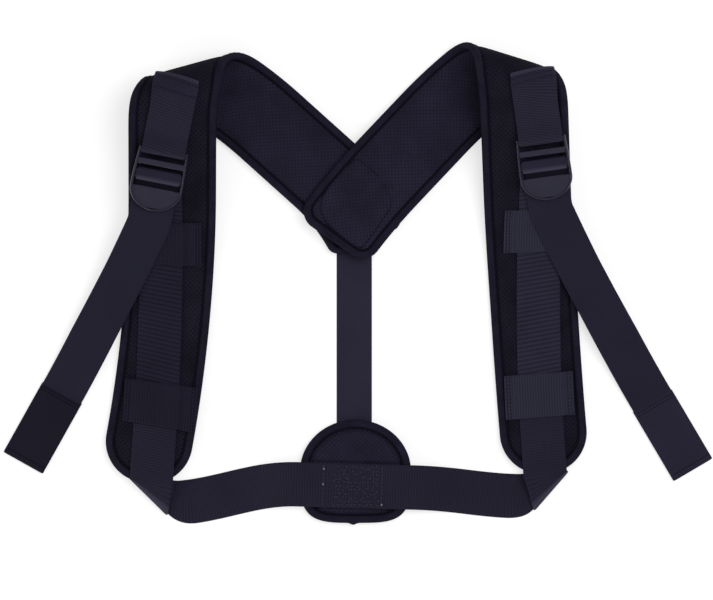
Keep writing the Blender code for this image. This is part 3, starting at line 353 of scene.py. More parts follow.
# %% [markdown]
# ## The table
# The harness lies on a sheet of white paper, which takes its shadow. In the photograph the sheet is
# burnt out to white. More light would grey the black cloth, so the sheet glows a little where the
# camera sees it, and is plain paper to everything else.

# %% Table
TABLE_HALF = 4.0
TABLE_UNDER = 0.0003  # below the harness


def paper_material():
    """White paper with a faint tooth: the camera sees a darker sheet that glows, other rays a pale one."""
    made, tree, shader, where = new_material("white paper sheet")
    tooth = put(tree, "ShaderNodeTexNoise", {"Vector": where, "Scale": 400.0, "Detail": 2.0})
    bump = put(tree, "ShaderNodeBump", {"Height": tooth, "Strength": 0.05, "Distance": 0.0001})
    seen = put(tree, "ShaderNodeLightPath").outputs["Is Camera Ray"]
    glow = put(tree, "ShaderNodeMath", {0: seen, 1: 0.62}, operation="MULTIPLY")
    shade = put(tree, "ShaderNodeMapRange", {0: seen, 3: 0.94, 4: 0.46})
    white = put(tree, "ShaderNodeCombineColor", {0: shade, 1: shade, 2: shade})
    join(tree, shader, {"Base Color": white, "Normal": bump, "Roughness": 0.9, "Specular IOR Level": 0.0,
                        "Emission Strength": glow, "Emission Color": (1.0, 1.0, 1.0, 1.0)})
    return made


sheet = bpy.data.meshes.new("table")
corners = ((-1, -1), (1, -1), (1, 1), (-1, 1))
sheet.from_pydata([(TABLE_HALF * x, TABLE_HALF * y, -TABLE_UNDER) for x, y in corners], [], [(0, 1, 2, 3)])
table = bpy.data.objects.new("table", sheet)
table.data.materials.append(paper_material())
scene.collection.objects.link(table)
print("table made")

# %% [markdown]
# ## Lines and lengths
# A few short functions do the geometry that all the pieces share: an eased step, the length along a
# line of points, and points read off that line at given lengths.

# %% Lines and lengths
UP = np.array([0.0, 0.0, 1.0])
STEP = 0.001  # a short step on a surface, to find a direction there


def smooth(x):
    """Eased step from 0 to 1: three times the square less twice the cube."""
    x = np.clip(x, 0.0, 1.0)
    return x * x * (3 - 2 * x)


def eased(x, stretch):
    """Eased step over a stretch, which is given by its start and its length."""
    return smooth((x - stretch[0]) / stretch[1])


def bell(x, middle, reach):
    """A rounded hump of height 1: e to the power of minus the square of the distance over its reach."""
    return np.exp(-((x - middle) / reach) ** 2)


def unit(rows):
    """Directions: each row divided by its length."""
    return rows / np.linalg.norm(rows, axis=-1, keepdims=True)


def left_of(ahead):
    """Plan directions a quarter turn to the left of others."""
    return np.stack([-ahead[:, 1], ahead[:, 0]], axis=1)


def run_length(points):
    """Length along a line of points, from 0 at the first one."""
    return np.concatenate([[0], np.cumsum(np.linalg.norm(np.diff(points, axis=0), axis=1))])


def read_line(at, run, points):
    """Points of a line at given lengths along it."""
    return np.stack([np.interp(at, run, points[:, k]) for k in range(points.shape[1])], axis=1)


def even_loop(loop, count):
    """Evenly spaced points round a closed line, the directions along it there, and the lengths."""
    run = run_length(loop)
    at = np.linspace(0, run[-1], count, endpoint=False)
    even = read_line(at, run, loop)
    return even, unit(np.roll(even, -1, axis=0) - np.roll(even, 1, axis=0)), at


print("line functions ready")

# %% [markdown]
# ## Skins from rings
# Every piece here is a closed skin: a ring of points carried along a path. The ring's points are one
# axis of an array and the stations are the other, so the faces are the same for all pieces and only
# the array of points differs. Each point also keeps how far across and along the piece it lies, in
# metres, which the weave and the holes read.

# %% Skins from rings
def turned_out(points, faces):
    """The faces in the order that gives the closed skin a positive volume."""
    a, b, c = (points[faces[:, i]] for i in (0, 1, 2))
    volume = np.einsum("ij,ij->i", a, np.cross(b, c)).sum()
    if faces.shape[1] == 4:
        volume += np.einsum("ij,ij->i", a, np.cross(c, points[faces[:, 3]])).sum()
    return faces if volume > 0 else faces[:, ::-1]


def ring_of(upper, lower):
    """Rings from two grids: the upper one's columns, then the lower one's inner columns backwards."""
    return np.concatenate([upper, lower[:, -2:0:-1]], axis=1)


def ring_faces(stations, sides, closed):
    """Quads between rings; the last ring joins the first where the piece is closed."""
    index = np.arange(stations * sides).reshape(stations, sides)
    ahead = np.roll(index, -1, axis=0)
    if not closed:
        index, ahead = index[:-1], ahead[:-1]
    quads = [index, np.roll(index, -1, axis=1), np.roll(ahead, -1, axis=1), ahead]
    return np.stack([q.ravel() for q in quads], axis=1)


def end_faces(first, sides):
    """Quads across a ring from each point on its upper side to its partner on the lower side."""
    j = np.arange(sides // 2)
    quads = np.stack([j, j + 1, (sides - j - 1) % sides, (sides - j) % sides], axis=1)
    quads[0, 3] = -1
    quads[-1, 2] = -1
    return np.where(quads >= 0, quads + first, -1)


def skin_faces(points, stations, sides, closed=False):
    """All faces of a skin, turned outwards, with end faces where it doesn't close on itself."""
    faces = turned_out(points, ring_faces(stations, sides, closed))
    if closed:
        return faces
    ends = [end_faces(0, sides)[:, ::-1], end_faces((stations - 1) * sides, sides)]
    flipped = faces[0, 0] != 0
    return np.concatenate([faces] + [e[:, ::-1] if flipped else e for e in ends])


print("face functions ready")

# %% [markdown]
# ## Pieces from skins
# A mesh gets its points and faces from the arrays, its map and its materials. Edges sharper than 55
# degrees stay sharp under the smooth shading, so a selvedge shows as an edge. Each piece is then
# handed over with the body that it follows.

# %% Pieces from skins
SHARP = math.radians(55)


def new_piece(name, points, faces, looks, lay=None):
    """A mesh object from arrays of points and faces, with its map and its materials. A corner of -1
    is left out, which makes that face a triangle."""
    mesh = bpy.data.meshes.new(name)
    mesh.from_pydata(points.tolist(), [], [[int(i) for i in f if i >= 0] for f in faces])
    if lay is not None:
        corner = np.zeros(len(mesh.loops), dtype=np.int32)
        mesh.loops.foreach_get("vertex_index", corner)
        mesh.uv_layers.new(name="lay").data.foreach_set("uv", lay[corner].ravel())
    for look in looks:
        mesh.materials.append(look)
    mesh.shade_smooth()
    mesh.set_sharp_from_angle(angle=SHARP)
    made = bpy.data.objects.new(name, mesh)
    scene.collection.objects.link(made)
    return made


def skin(name, rings, lay, looks, closed=False):
    """A closed skin over rings, an array of stations by sides by 3."""
    points = rings.reshape(-1, 3)
    faces = skin_faces(points, *rings.shape[:2], closed)
    return new_piece(name, points, faces, looks, lay.reshape(-1, 2))


def stand_in(made, body, slot, *nodes):
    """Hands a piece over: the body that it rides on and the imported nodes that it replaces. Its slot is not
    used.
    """
    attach(made, body)
    if nodes:
        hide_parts(*nodes)


print("skin functions ready")

# %% [markdown]
# ## Bands of webbing
# Webbing has one section, flat with round selvedges, which is carried along a path. The path comes as
# a function that gives the place of a point from its station, its place across and its height, so
# the same few lines make straps that lie flat, follow a slope or turn over.

# %% Bands of webbing
BAND_COLUMNS = 15
SELVEDGE = 24  # power of the section's superellipse


def band_ring(width, thick):
    """Across and height of a woven band's section: flat, with round selvedges."""
    across = np.sin(np.linspace(-math.pi / 2, math.pi / 2, BAND_COLUMNS)) * width / 2
    full = np.sqrt(np.clip(1 - np.abs(2 * across / width) ** SELVEDGE, 0, 1)) * thick / 2
    back = slice(BAND_COLUMNS - 2, 0, -1)
    return np.concatenate([across, across[back]]), np.concatenate([full, -full[back]])


def band(name, place, along, width, thick, look, zero=()):
    """Webbing: its section carried along stations by place(along, across, height). Its map starts
    at the stations in zero, or else a metre before the first one."""
    across, height = band_ring(width, thick)
    rings = place(along[:, None], across[None, :], height[None, :])
    run = run_length(rings[:, len(across) // 4])
    mark = np.abs(run[:, None] - run[list(zero)]).min(axis=1) if zero else run + 1.0
    lay = np.stack(np.broadcast_arrays(across[None, :], mark[:, None]), axis=-1)
    print(f"{name}: {run[-1] * 1000:.0f} mm long")
    return skin(name, rings, lay, [look])


def change_look(made, look, from_station):
    """Gives a band another material from a station on."""
    made.data.materials.append(look)
    station = np.arange(len(made.data.polygons)) // (2 * BAND_COLUMNS - 2)
    made.data.polygons.foreach_set("material_index", (station >= from_station).astype(np.int32))


# %% [markdown]
# ## Stitches
# A stitch is a short thread that dips into the cloth at both ends. Hundreds of them share one
# small shape, a thin spindle, which is copied along a seam by multiplying whole arrays.

# %% Stitches
def spindle(length, radius):
    """Points and faces of one stitch: rings of six, fat in the middle, and arched upwards."""
    turn = np.linspace(0, 2 * math.pi, 6, endpoint=False)
    station = np.array([-1.0, -0.8, -0.3, 0.3, 0.8, 1.0])
    fat = np.array([0.25, 0.75, 1.0, 1.0, 0.75, 0.25])
    arch = (fat - 0.6) * radius
    points = np.stack(np.broadcast_arrays(
        station[:, None] * length / 2,
        fat[:, None] * radius * np.cos(turn)[None, :],
        fat[:, None] * radius * np.sin(turn)[None, :] + arch[:, None]), axis=-1)
    caps = np.array([[0, 1, 2, 3], [0, 3, 4, 5]])
    last = (len(station) - 1) * len(turn)
    sides = ring_faces(len(station), len(turn), False)
    return points.reshape(-1, 3), np.concatenate([sides, caps[:, ::-1], caps + last])


def stitches(name, at, along, up, length, radius, look, body="harness"):
    """Spindles at points at, lying in the direction along with their backs in the direction up."""
    along = unit(np.broadcast_to(along, at.shape))
    up = np.broadcast_to(up, at.shape)
    up = unit(up - along * np.sum(up * along, axis=1)[:, None])
    frames = np.stack([along, np.cross(along, up), up], axis=1)
    local, one = spindle(length, radius)
    points = (np.einsum("sk,nkd->nsd", local, frames) + at[:, None, :]).reshape(-1, 3)
    faces = (one[None] + np.arange(len(at))[:, None, None] * len(local)).reshape(-1, 4)
    made = new_piece(name, points, turned_out(points, faces), [look])
    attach(made, body)


def sew(name, surface, first, second, step, lift, rise, length, radius, look):
    """Stitches on a surface(first, second, lift), pointing a step along it and standing up by rise."""
    base = surface(first, second, lift)
    along = surface(first + step[0], second + step[1], lift) - base
    up = surface(first, second, lift + rise) - base
    stitches(name, base, along, up, length, radius, look)


def seam(points, pitch):
    """Stations every pitch along a line of points, with the line's direction at each."""
    run = run_length(points)
    at = np.arange(pitch / 2, run[-1], pitch)
    ahead = read_line(at + pitch / 4, run, points) - read_line(at - pitch / 4, run, points)
    return read_line(at, run, points), ahead


print("stitches ready")

# %% [markdown]
# ## The pad's pattern
# A shoulder pad is a flat strip with a few gentle bends, which is then rolled over a slanting line
# at the shoulder: flat, half a turn and a little more, a slope, and flat again. The two sides don't
# lie alike, so each has its own values. Those above the comment are the model's, so that the visible
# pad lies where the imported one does. Those below it are for the looks only, and say how this
# harness happens to lie in the photograph.

# %% Sizes of the harness
WEB_WIDTH = 0.038
WEB_THICK = 0.0014
SPINE_WIDTH = 0.030
KEEPER_THICK = 0.0012
HEM_LENGTH = 0.070
GAP = 0.0003  # between layers that lie on each other
UNDER_STRAP = WEB_THICK + GAP  # how high a pad lies on a strap
PAD_WIDTH = 0.0758
PAD_LENGTH = 0.605
PAD_HALF = 0.0033  # half its thickness in the middle
EDGE_HALF = 0.0021  # half its thickness under the tape
PANEL_CORNER = 0.036
TAPE_FACE = 0.0080  # width of the tape on each face
TAPE_OUT = 0.0031  # half the thickness of the bound edge
FOLD_RADIUS = 0.018
RAMP = math.radians(14)  # slope of the panel after the roll
EASE_RADIUS = 0.200  # of the bend from the slope to level
SIDES = {
    "left": dict(
        sign=-1, arm_angle=42.0, arm_offset=0.0515, arm_end=0.0145, v_bend=23.0, v_lift=UNDER_STRAP,
        fold_angle=15.4, fold_line=0.2012, neck_bend=8.4, bend=25.3, panel_bend=10.0,
        bar_at=0.3127, bar_out=0.0060, skew=11.2, keeper_drop=0.0821, keeper_from_tip=0.0693,
        riser_out=0.0018, corner_out=-0.0100, crease_past_tip=0.0125, crease_rise=4.0,
        # For the looks only
        v_corner=0.0130, aside=(0.0018, 0.0015), drawn=0.0048, tuck=0.0055, keeper_in=0.0352, flap=0.0128,
        tail_length=0.2678, tail_bend=0.024, tail_kink=12.8, tail_curl=0.53,
        belt_sag=0.0064, tip_cut=0.10, crease_out=(-0.0015, -0.0008)),
    "right": dict(
        sign=1, arm_angle=46.7, arm_offset=0.0481, arm_end=0.0115, v_bend=8.0,
        v_lift=UNDER_STRAP + 2 * PAD_HALF + GAP,
        fold_angle=17.4, fold_line=0.2075, neck_bend=7.2, bend=13.5, panel_bend=2.6,
        bar_at=0.3115, bar_out=0.0130, skew=6.0, keeper_drop=0.0807, keeper_from_tip=0.0683,
        riser_out=0.0027, corner_out=-0.0010, crease_past_tip=0.0155, crease_rise=0.5,
        # For the looks only
        v_corner=0.0170, aside=(0.0005, -0.0006), drawn=0.0040, tuck=0.0, keeper_in=0.0310, flap=0.0085,
        tail_length=0.2880, tail_bend=0.021, tail_kink=16.4, tail_curl=0.56,
        belt_sag=0.0034, tip_cut=0.13, crease_out=(0.0003, 0.0030)),
}
SPINE_X = -0.0030
SPINE_TOP = 0.0420
spine_low, spine_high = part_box("spine_strap")
SHIFT = np.array([(spine_low[0] + spine_high[0]) / 2 - SPINE_X, spine_high[1] - SPINE_TOP, 0.0])
print("middle of the model moved by", np.round(SHIFT * 1000, 2), "mm")

# %% [markdown]
# ## The roll at the shoulder
# Cloth that is rolled over keeps its lengths, so a point is found by how far it lies past the line of
# the roll: that length is laid along an arc, a slope and an easing arc in the side view. The slanting
# line only turns the pattern before and after.

# %% The pad rolled at the shoulder
def roll(c):
    """Plan distance, height and upper normal at a length c past the start of the roll: level, an
    arc of half a turn and the slope's angle, a straight slope, a wide arc, and level again."""
    turned = math.pi + RAMP
    arc = FOLD_RADIUS * turned
    top = FOLD_RADIUS * (1 + math.cos(RAMP))
    ramp = (top - EASE_RADIUS * (1 - math.cos(RAMP))) / math.sin(RAMP)
    ease = EASE_RADIUS * RAMP
    angle = np.clip(c, 0, arc) / FOLD_RADIUS
    sloped = np.clip(c - arc, 0, ramp)
    heading = turned - np.clip(c - arc - ramp, 0, ease) / EASE_RADIUS
    plan = FOLD_RADIUS * np.sin(angle) + np.minimum(c, 0) - sloped * math.cos(RAMP)
    plan = plan - EASE_RADIUS * (np.sin(heading) - math.sin(turned)) - np.maximum(c - arc - ramp - ease, 0)
    height = FOLD_RADIUS * (1 - np.cos(angle)) - sloped * math.sin(RAMP)
    height = height + EASE_RADIUS * (np.cos(heading) - math.cos(turned))
    facing = np.where(c > arc + ramp, heading, angle)
    return plan, height, -np.sin(facing), np.cos(facing)


def fold(side, x, y, offset, lift=0.0):
    """Points of the flat pattern after the roll, moved along the pad's normal by offset."""
    angle = math.radians(side["fold_angle"])
    nx, ny = math.sin(angle), math.cos(angle)
    along = x * ny - y * nx
    plan, height, n_plan, n_up = roll(x * nx + y * ny - side["fold_line"])
    across = side["fold_line"] + plan + offset * n_plan
    folded_x = side["sign"] * (along * ny + across * nx)
    folded_y = across * ny - along * nx
    z = PAD_HALF + height + offset * n_up + lift
    return np.stack(np.broadcast_arrays(folded_x, folded_y, z), axis=-1) + SHIFT


print("roll ready")

# %% [markdown]
# ## Places on a pad
# The pad's middle line is found by adding up small steps of its heading, which changes evenly over
# four bends. A place on the pad is then a length along that line and a distance across it.

# %% Places on a pad
SPINE_BEND = 0.072  # where the bend at the spine ends
NECK = (0.135, 0.185)  # start and end of the bend at the neck
SHOULDER = (0.200, 0.290)
PANEL = (0.350, 0.570)
CROSSING = (0.086, 0.070)  # start and length of the way down from the crossing
TIP_RISE = (PAD_LENGTH - 0.062, 0.050)  # start and length of the way up onto the belt
PANEL_ASIDE = (0.225, 0.030)  # start and length of the step aside below the roll
LOW_PANEL = (0.36, 0.12)  # start and length of the change to the panel's lower half
BROW = (0.250, 0.016)  # place and reach of the brow of the roll
TUCK_REACH = 0.016


def centre_line(side, s):
    """Plan point and heading of the flat pad's middle, by adding up small steps of its heading."""
    steps = np.linspace(0, PAD_LENGTH, 1200)
    turn = side["v_bend"] * (1 - np.clip(steps / SPINE_BEND, 0, 1))
    bends = ((-side["neck_bend"], NECK), (side["bend"], SHOULDER), (-side["panel_bend"], PANEL))
    for amount, (start, end) in bends:
        turn = turn + amount * np.clip((steps - start) / (end - start), 0, 1)
    heading = np.radians(side["arm_angle"] + turn)
    x = np.concatenate([[0], np.cumsum((np.cos(heading[1:]) + np.cos(heading[:-1])) / 2 * steps[1])])
    y = np.concatenate([[0], np.cumsum((np.sin(heading[1:]) + np.sin(heading[:-1])) / 2 * steps[1])])
    known = (SPINE_BEND + NECK[0]) / 2
    reach = side["arm_end"] + known
    arm = math.radians(side["arm_angle"])
    x = x - np.interp(known, steps, x) - side["arm_offset"] * math.sin(arm) + reach * math.cos(arm)
    y = y - np.interp(known, steps, y) + side["arm_offset"] * math.cos(arm) + reach * math.sin(arm)
    past = np.maximum(s - PAD_LENGTH, 0)
    at = np.interp(s, steps, heading)
    return np.interp(s, steps, x) + past * np.cos(at), np.interp(s, steps, y) + past * np.sin(at), at


def on_pad(side, s, t, offset):
    """Points on a pad: s along it, t outwards across it, offset along its normal. The pad is raised
    where it lies on the spine strap, on the other pad and on the belt."""
    x, y, at = centre_line(side, s)
    lift = side["v_lift"] * (1 - eased(s, CROSSING)) + UNDER_STRAP * eased(s, TIP_RISE)
    return fold(side, x + t * np.sin(at), y - t * np.cos(at), offset, lift)


def as_lies(side, s, t, offset):
    """Points on a pad as it lies: the panel a little aside of its pattern, its outer edge drawn in at
    the brow of the roll, which rounds the shoulder's corner, and its hidden end corner tucked in."""
    low = eased(s, LOW_PANEL)
    aside = eased(s, PANEL_ASIDE) * (side["aside"][0] * (1 - low) + side["aside"][1] * low)
    drawn = side["drawn"] * bell(s, *BROW) * smooth(t / (PAD_WIDTH / 2))
    tucked = side["tuck"] * bell(s, 0, TUCK_REACH) * smooth(-t / (PAD_WIDTH / 2))
    return on_pad(side, s, t - aside - drawn + tucked, offset)


def from_edge(side, s, t):
    """Distance inside the pad's outline, a strip with rounded corners: the least over both ends of
    the corner's radius less the distance from the corner's middle."""
    found = []
    for radius, a in ((side["v_corner"], s), (PANEL_CORNER, PAD_LENGTH - s)):
        q = np.abs(t) - (PAD_WIDTH / 2 - radius)
        w = radius - a
        out = np.hypot(np.maximum(q, 0), np.maximum(w, 0)) + np.minimum(np.maximum(q, w), 0)
        found.append(radius - out)
    return np.minimum(*found)


print("pattern ready")

# %% [markdown]
# ## The shoulder pads
# Each pad is foam between two knit skins, held all round by the tape. Pressed thin under the tape
# and free in the middle, it swells: thin at the edge, a groove along the stitches and a soft crown
# inside. A grid over the pattern gives both skins at once, one above the middle and one below.
# Where the right pad is sewn down over the left one, the seam draws a rounded diamond in the face.

# %% The diamond sewn at the crossing
DIAMOND_MM = [
    (-0.87, 108.315), (8.70, 101.355), (17.40, 93.525), (25.23, 82.215),
    (28.71, 70.905), (26.10, 63.075), (20.01, 54.375), (10.44, 40.455),
    (3.48, 32.625), (-4.35, 31.755), (-14.79, 38.715), (-26.10, 51.765),
    (-32.19, 64.815), (-30.45, 76.995), (-21.75, 90.915), (-11.31, 102.225),
]
DIAMOND_DEEP = 0.0013
DIAMOND_REACH = 0.0016


def closed_curve(spots, count):
    """A smooth closed curve through points: cubic pieces with the slope of each point's neighbours."""
    w = np.linspace(0, len(spots), count, endpoint=False)
    i = w.astype(int)
    f = (w - i)[:, None]
    a, b, c, d = (spots[(i + k) % len(spots)] for k in (-1, 0, 1, 2))
    return b + 0.5 * f * (c - a + f * (2 * a - 5 * b + 4 * c - d + f * (3 * (b - c) + d - a)))


diamond = closed_curve(np.array(DIAMOND_MM) * 0.001 + SHIFT[:2], 240)
print("diamond", np.round(np.ptp(diamond, axis=0) * 1000, 1), "mm across and along")

# %% [markdown]
# ## Skins of the shoulder pads
# The grid's rows are closer together round the corners and its columns closer at the edges, where the
# shape changes fastest. The lining is the upper face of the flat pattern. The roll turns the pad
# over, so the cover is up on the panel.

# %% Shoulder pads
RIM_INSET = 0.0012  # the skins end inside the tape
SKIN_SLACK = 0.0002  # the skins lie under the foam's full height
PAD_STEP = 0.0026
PAD_COLUMNS = 33
PAD_SWELL = 0.005  # over which the pad thickens
STITCH_GROOVE = (0.0006, 0.0011)  # place and reach of the groove beside the tape
GROOVE_DEEP = 0.0006
WAVE = 0.00012  # height of the foam's slow waves, which are about 100 and 80 mm long
CROSSING_END = 0.12


def half_thick(side, s, t, face):
    """Half thickness of a pad: thin under the tape, a groove by the stitches, full inside, and a few
    slow waves so that the foam isn't perfectly even."""
    inside = from_edge(side, s, t) - TAPE_FACE
    full = 1 - np.exp(-np.maximum(inside, 0) / PAD_SWELL)
    groove = GROOVE_DEEP * bell(inside, *STITCH_GROOVE)
    wave = WAVE * np.sin(61 * s + 1.3 * face) * np.cos(75 * t + 40 * s)
    return EDGE_HALF + (PAD_HALF - EDGE_HALF - SKIN_SLACK + wave) * full - groove


def pad_stations(first_radius):
    """Stations along a pad, closer together round its corners."""
    quarter = 1 - np.cos(np.linspace(0.04, math.pi / 2, 22))
    first = RIM_INSET + (first_radius - RIM_INSET) * quarter
    last = PAD_LENGTH - RIM_INSET - (PANEL_CORNER - RIM_INSET) * quarter[::-1]
    return np.concatenate([first, np.arange(first[-1] + PAD_STEP, last[0] - PAD_STEP / 2, PAD_STEP), last])


def half_width(side, s):
    """Half width of the pad's skins at s: the strip's, or the chord of a rounded corner."""
    wide = np.full_like(s, PAD_WIDTH / 2 - RIM_INSET)
    for radius, a in ((side["v_corner"], s), (PANEL_CORNER, PAD_LENGTH - s)):
        chord = np.sqrt(np.clip((radius - RIM_INSET) ** 2 - np.maximum(radius - a, 0) ** 2, 0, None))
        wide = np.where(a < radius, PAD_WIDTH / 2 - radius + chord, wide)
    return wide


def shoulder_pad(name, side):
    """Both skins of a pad over one grid, joined round the rim."""
    s = pad_stations(side["v_corner"])
    even = np.linspace(-1, 1, PAD_COLUMNS)
    share = np.sin(even * math.pi / 2) * 0.35 + even * 0.65
    grid_s = np.repeat(s[:, None], PAD_COLUMNS, axis=1)
    grid_t = half_width(side, s)[:, None] * share[None, :]
    upper = half_thick(side, grid_s, grid_t, 0)
    if side["sign"] > 0:
        crossing = s < CROSSING_END
        flat = as_lies(side, grid_s, grid_t, 0.0)[crossing][..., :2]
        near = np.linalg.norm(flat[:, :, None, :] - diamond[None, None], axis=-1).min(axis=2)
        upper[crossing] -= DIAMOND_DEEP * bell(near, 0, DIAMOND_REACH)
    lower = half_thick(side, grid_s, grid_t, 1)
    ring_s, ring_t, offset = ring_of(grid_s, grid_s), ring_of(grid_t, grid_t), ring_of(upper, -lower)
    offset[:, [0, PAD_COLUMNS - 1]] = 0.0
    rings = as_lies(side, ring_s, ring_t, offset)
    made = skin(f"{name}_shoulder_pad", rings, np.stack([ring_t, ring_s], axis=-1), [lining_knit, cover_knit])
    below = np.zeros(len(made.data.polygons), dtype=np.int32)
    columns = np.arange((len(s) - 1) * ring_s.shape[1]) % ring_s.shape[1]
    below[: len(columns)] = columns >= PAD_COLUMNS - 1
    made.data.polygons.foreach_set("material_index", below)
    layers = (f"{name}_shoulder_{part}" for part in ("foam", "cover", "lining"))
    stand_in(made, "harness", "lining_fabric", *layers)


for name, side in SIDES.items():
    shoulder_pad(name, side)
print("shoulder pads made")

# %% [markdown]
# ## The binding
# A tape is folded over the pad's edge and sewn through. It is a round nose with two flat wings, and
# the stitches pull a shallow line into each wing. The section is carried round the outline; the
# outline's normal in the flat pattern says which way is inwards.

# %% Binding of the shoulder pads
TAPE_SEAM = 0.0066  # from the pad's edge to the stitches
TAPE_TOP = 0.00255  # height of the stitches over the pad's middle
TAPE_PITCH = 0.0036
TAPE_STITCH = (0.0027, 0.00034)  # length and radius of the thread that shows
PUCKER_MM = 5.2
PUCKER = 1 / 26  # of the tape's height
FLAT_WING = 0.0075  # inwards of this the tape is sewn flat


def pad_outline(side, count):
    """Points round the pad's outline, evenly spaced along it, with inward normals."""
    half = PAD_WIDTH / 2
    q = np.linspace(0, math.pi / 2, 60)
    spine, tip = side["v_corner"], PANEL_CORNER
    at_spine = np.stack([spine - spine * np.sin(q), half - spine + spine * np.cos(q)], axis=1)
    at_tip = np.stack([PAD_LENGTH - tip + tip * np.sin(q), half - tip + tip * np.cos(q)], axis=1)
    inner = np.array([1, -1])
    loop = np.concatenate([at_spine[::-1], at_tip, at_tip[::-1] * inner, at_spine * inner, at_spine[-1:]])
    even, ahead, at = even_loop(loop, count)
    return even, -left_of(ahead), at


def tape_ring():
    """Inset and height round the tape's section: an inner edge, a wing, a round nose, the other
    wing, and back inside."""
    nose = np.linspace(math.pi / 2, -math.pi / 2, 13)
    wing_e = np.array([0.0081, 0.0080, 0.0074, 0.0066, 0.0058, 0.0045])
    wing_h = np.array([0.0019, 0.0024, 0.0026, 0.00245, 0.0027, 0.0030])
    e = np.concatenate([wing_e, TAPE_OUT * (1 - np.cos(nose)), wing_e[::-1], [0.0030, 0.0030]])
    h = np.concatenate([wing_h, TAPE_OUT * np.sin(nose), -wing_h[::-1], [-0.0014, 0.0014]])
    return e, h


def shoulder_binding(name, side):
    """The tape's section carried round a pad, puckered by its stitches, and the stitches on both faces."""
    loop, inwards, run = pad_outline(side, 900)
    e, h = tape_ring()
    at = loop[:, None, :] + e[None, :, None] * inwards[:, None, :]
    pucker = PUCKER * np.sin(run * radians_per_metre(PUCKER_MM))[:, None] * (e < FLAT_WING)[None, :]
    rings = as_lies(side, at[..., 0], at[..., 1], h[None, :] * (1 + pucker))
    lay = np.stack(np.broadcast_arrays(e[None, :], run[:, None]), axis=-1)
    made = skin(f"{name}_shoulder_tape", rings, lay, [binding_tape], closed=True)
    stand_in(made, "harness", "binding_tape", f"{name}_shoulder_binding")
    line, normal, _ = pad_outline(side, 2400)
    spots, ahead = seam(line + TAPE_SEAM * normal, TAPE_PITCH)
    for face, part in ((1, "inner"), (-1, "outer")):
        sew(f"{name}_{part}_tape_stitches", lambda *at: as_lies(side, *at), *spots.T, 0.2 * ahead.T,
            face * TAPE_TOP, face * STEP, *TAPE_STITCH, dark_thread)


for name, side in SIDES.items():
    shoulder_binding(name, side)
print("bindings made")

# %% [markdown]
# ## The seam of the crossed pads
# The stitches of the diamond lie in the groove that was pressed into the right pad for them. The pad
# is level there, so they only need a height and all stand straight up.

# %% Seam of the crossed pads
CROSSING_PITCH = 0.0034
CROSSING_STITCH = (0.0025, 0.00036)  # length and radius

spots, ahead = seam(np.concatenate([diamond, diamond[:1]]), CROSSING_PITCH)
level = np.full(len(spots), 2 * PAD_HALF + SIDES["right"]["v_lift"] - DIAMOND_DEEP)
ahead = np.column_stack([ahead, np.zeros(len(ahead))])
stitches("crossing_stitches", np.column_stack([spots, level]), ahead, UP, *CROSSING_STITCH, dark_thread)
print("crossing seam:", len(spots), "stitches")

# %% [markdown]
# ## Straps by the buckle
# The webbing near each buckle follows the panel's slope: a path drawn in the side view, along the
# strap and away from the panel, is carried onto the slope. The anchor strap loops round the top bar
# and back on itself; the adjusting strap comes up the panel, turns over the grip bar and leaves
# under the thumb tab as the free tail.

# %% Heights and places by the buckle
BAR_RADIUS = 0.0020
BUCKLE_DEPTH = 0.0046
GRIP_THICK = 0.0024
FIRST_BAR = (0.0078, 0.0132)  # start and end, down from the top bar
GRIP_BAR = (0.0180, 0.0258)
TAB_START = 0.0330
TAB_LANDING = 0.0016  # where the strap lies flat again under the thumb tab
CUT = 0.0008  # between two lengths of one strap
RISER_N = GAP + WEB_THICK / 2
TAIL_N = RISER_N + WEB_THICK + GAP
OVER_KEEPER_N = GAP + WEB_THICK + GAP + KEEPER_THICK + GAP + WEB_THICK / 2
BUCKLE_UNDER = TAIL_N + WEB_THICK / 2 + GAP
BAR_N = BUCKLE_UNDER + BAR_RADIUS


def strip_frame(side):
    """Flat pattern point of the buckle's top bar, with the directions outwards and down the strap."""
    x, y, at = centre_line(side, side["bar_at"])
    down = at - math.radians(side["skew"])
    start = np.array([x, y]) + side["bar_out"] * np.array([math.sin(at), -math.cos(at)])
    return start, np.array([math.sin(down), -math.cos(down)]), np.array([math.cos(down), math.sin(down)])


def on_strip(side, u, v, n):
    """Points by the buckle: u outwards, v down from its top bar, n above the panel."""
    start, out, along = strip_frame(side)
    x = start[0] + u * out[0] + v * along[0]
    y = start[1] + u * out[1] + v * along[1]
    return fold(side, x, y, -(PAD_HALF + n))


def path_band(name, side, v, n, thick, look, zero=()):
    """Webbing that follows a path of v and n by the buckle; its thickness lies along the path's normal."""
    dv, dn = unit(np.stack([np.gradient(v), np.gradient(n)], axis=1)).T

    def place(i, across, height):
        return on_strip(side, across, v[i] - height * dn[i], n[i] + height * dv[i])

    return band(name, place, np.arange(len(v)), WEB_WIDTH, thick, look, zero)


def resample(v, n, pitch):
    """The same path with evenly spaced points."""
    path = np.stack([v, n], axis=1)
    run = run_length(path)
    return read_line(np.linspace(0, run[-1], int(run[-1] / pitch)), run, path).T


print("top bar", round((PAD_HALF + BAR_N) * 1000, 1), "mm over the panel's middle")

# %% [markdown]
# ## Anchor straps
# A short strap is sewn to the shoulder, goes round the buckle's top bar and comes back to its sewn
# end, so its two plies lie on each other. Its raw end is turned down into a narrow hem with a flap
# below, and two rows of stitches hold them. The end is cut square across the strap.

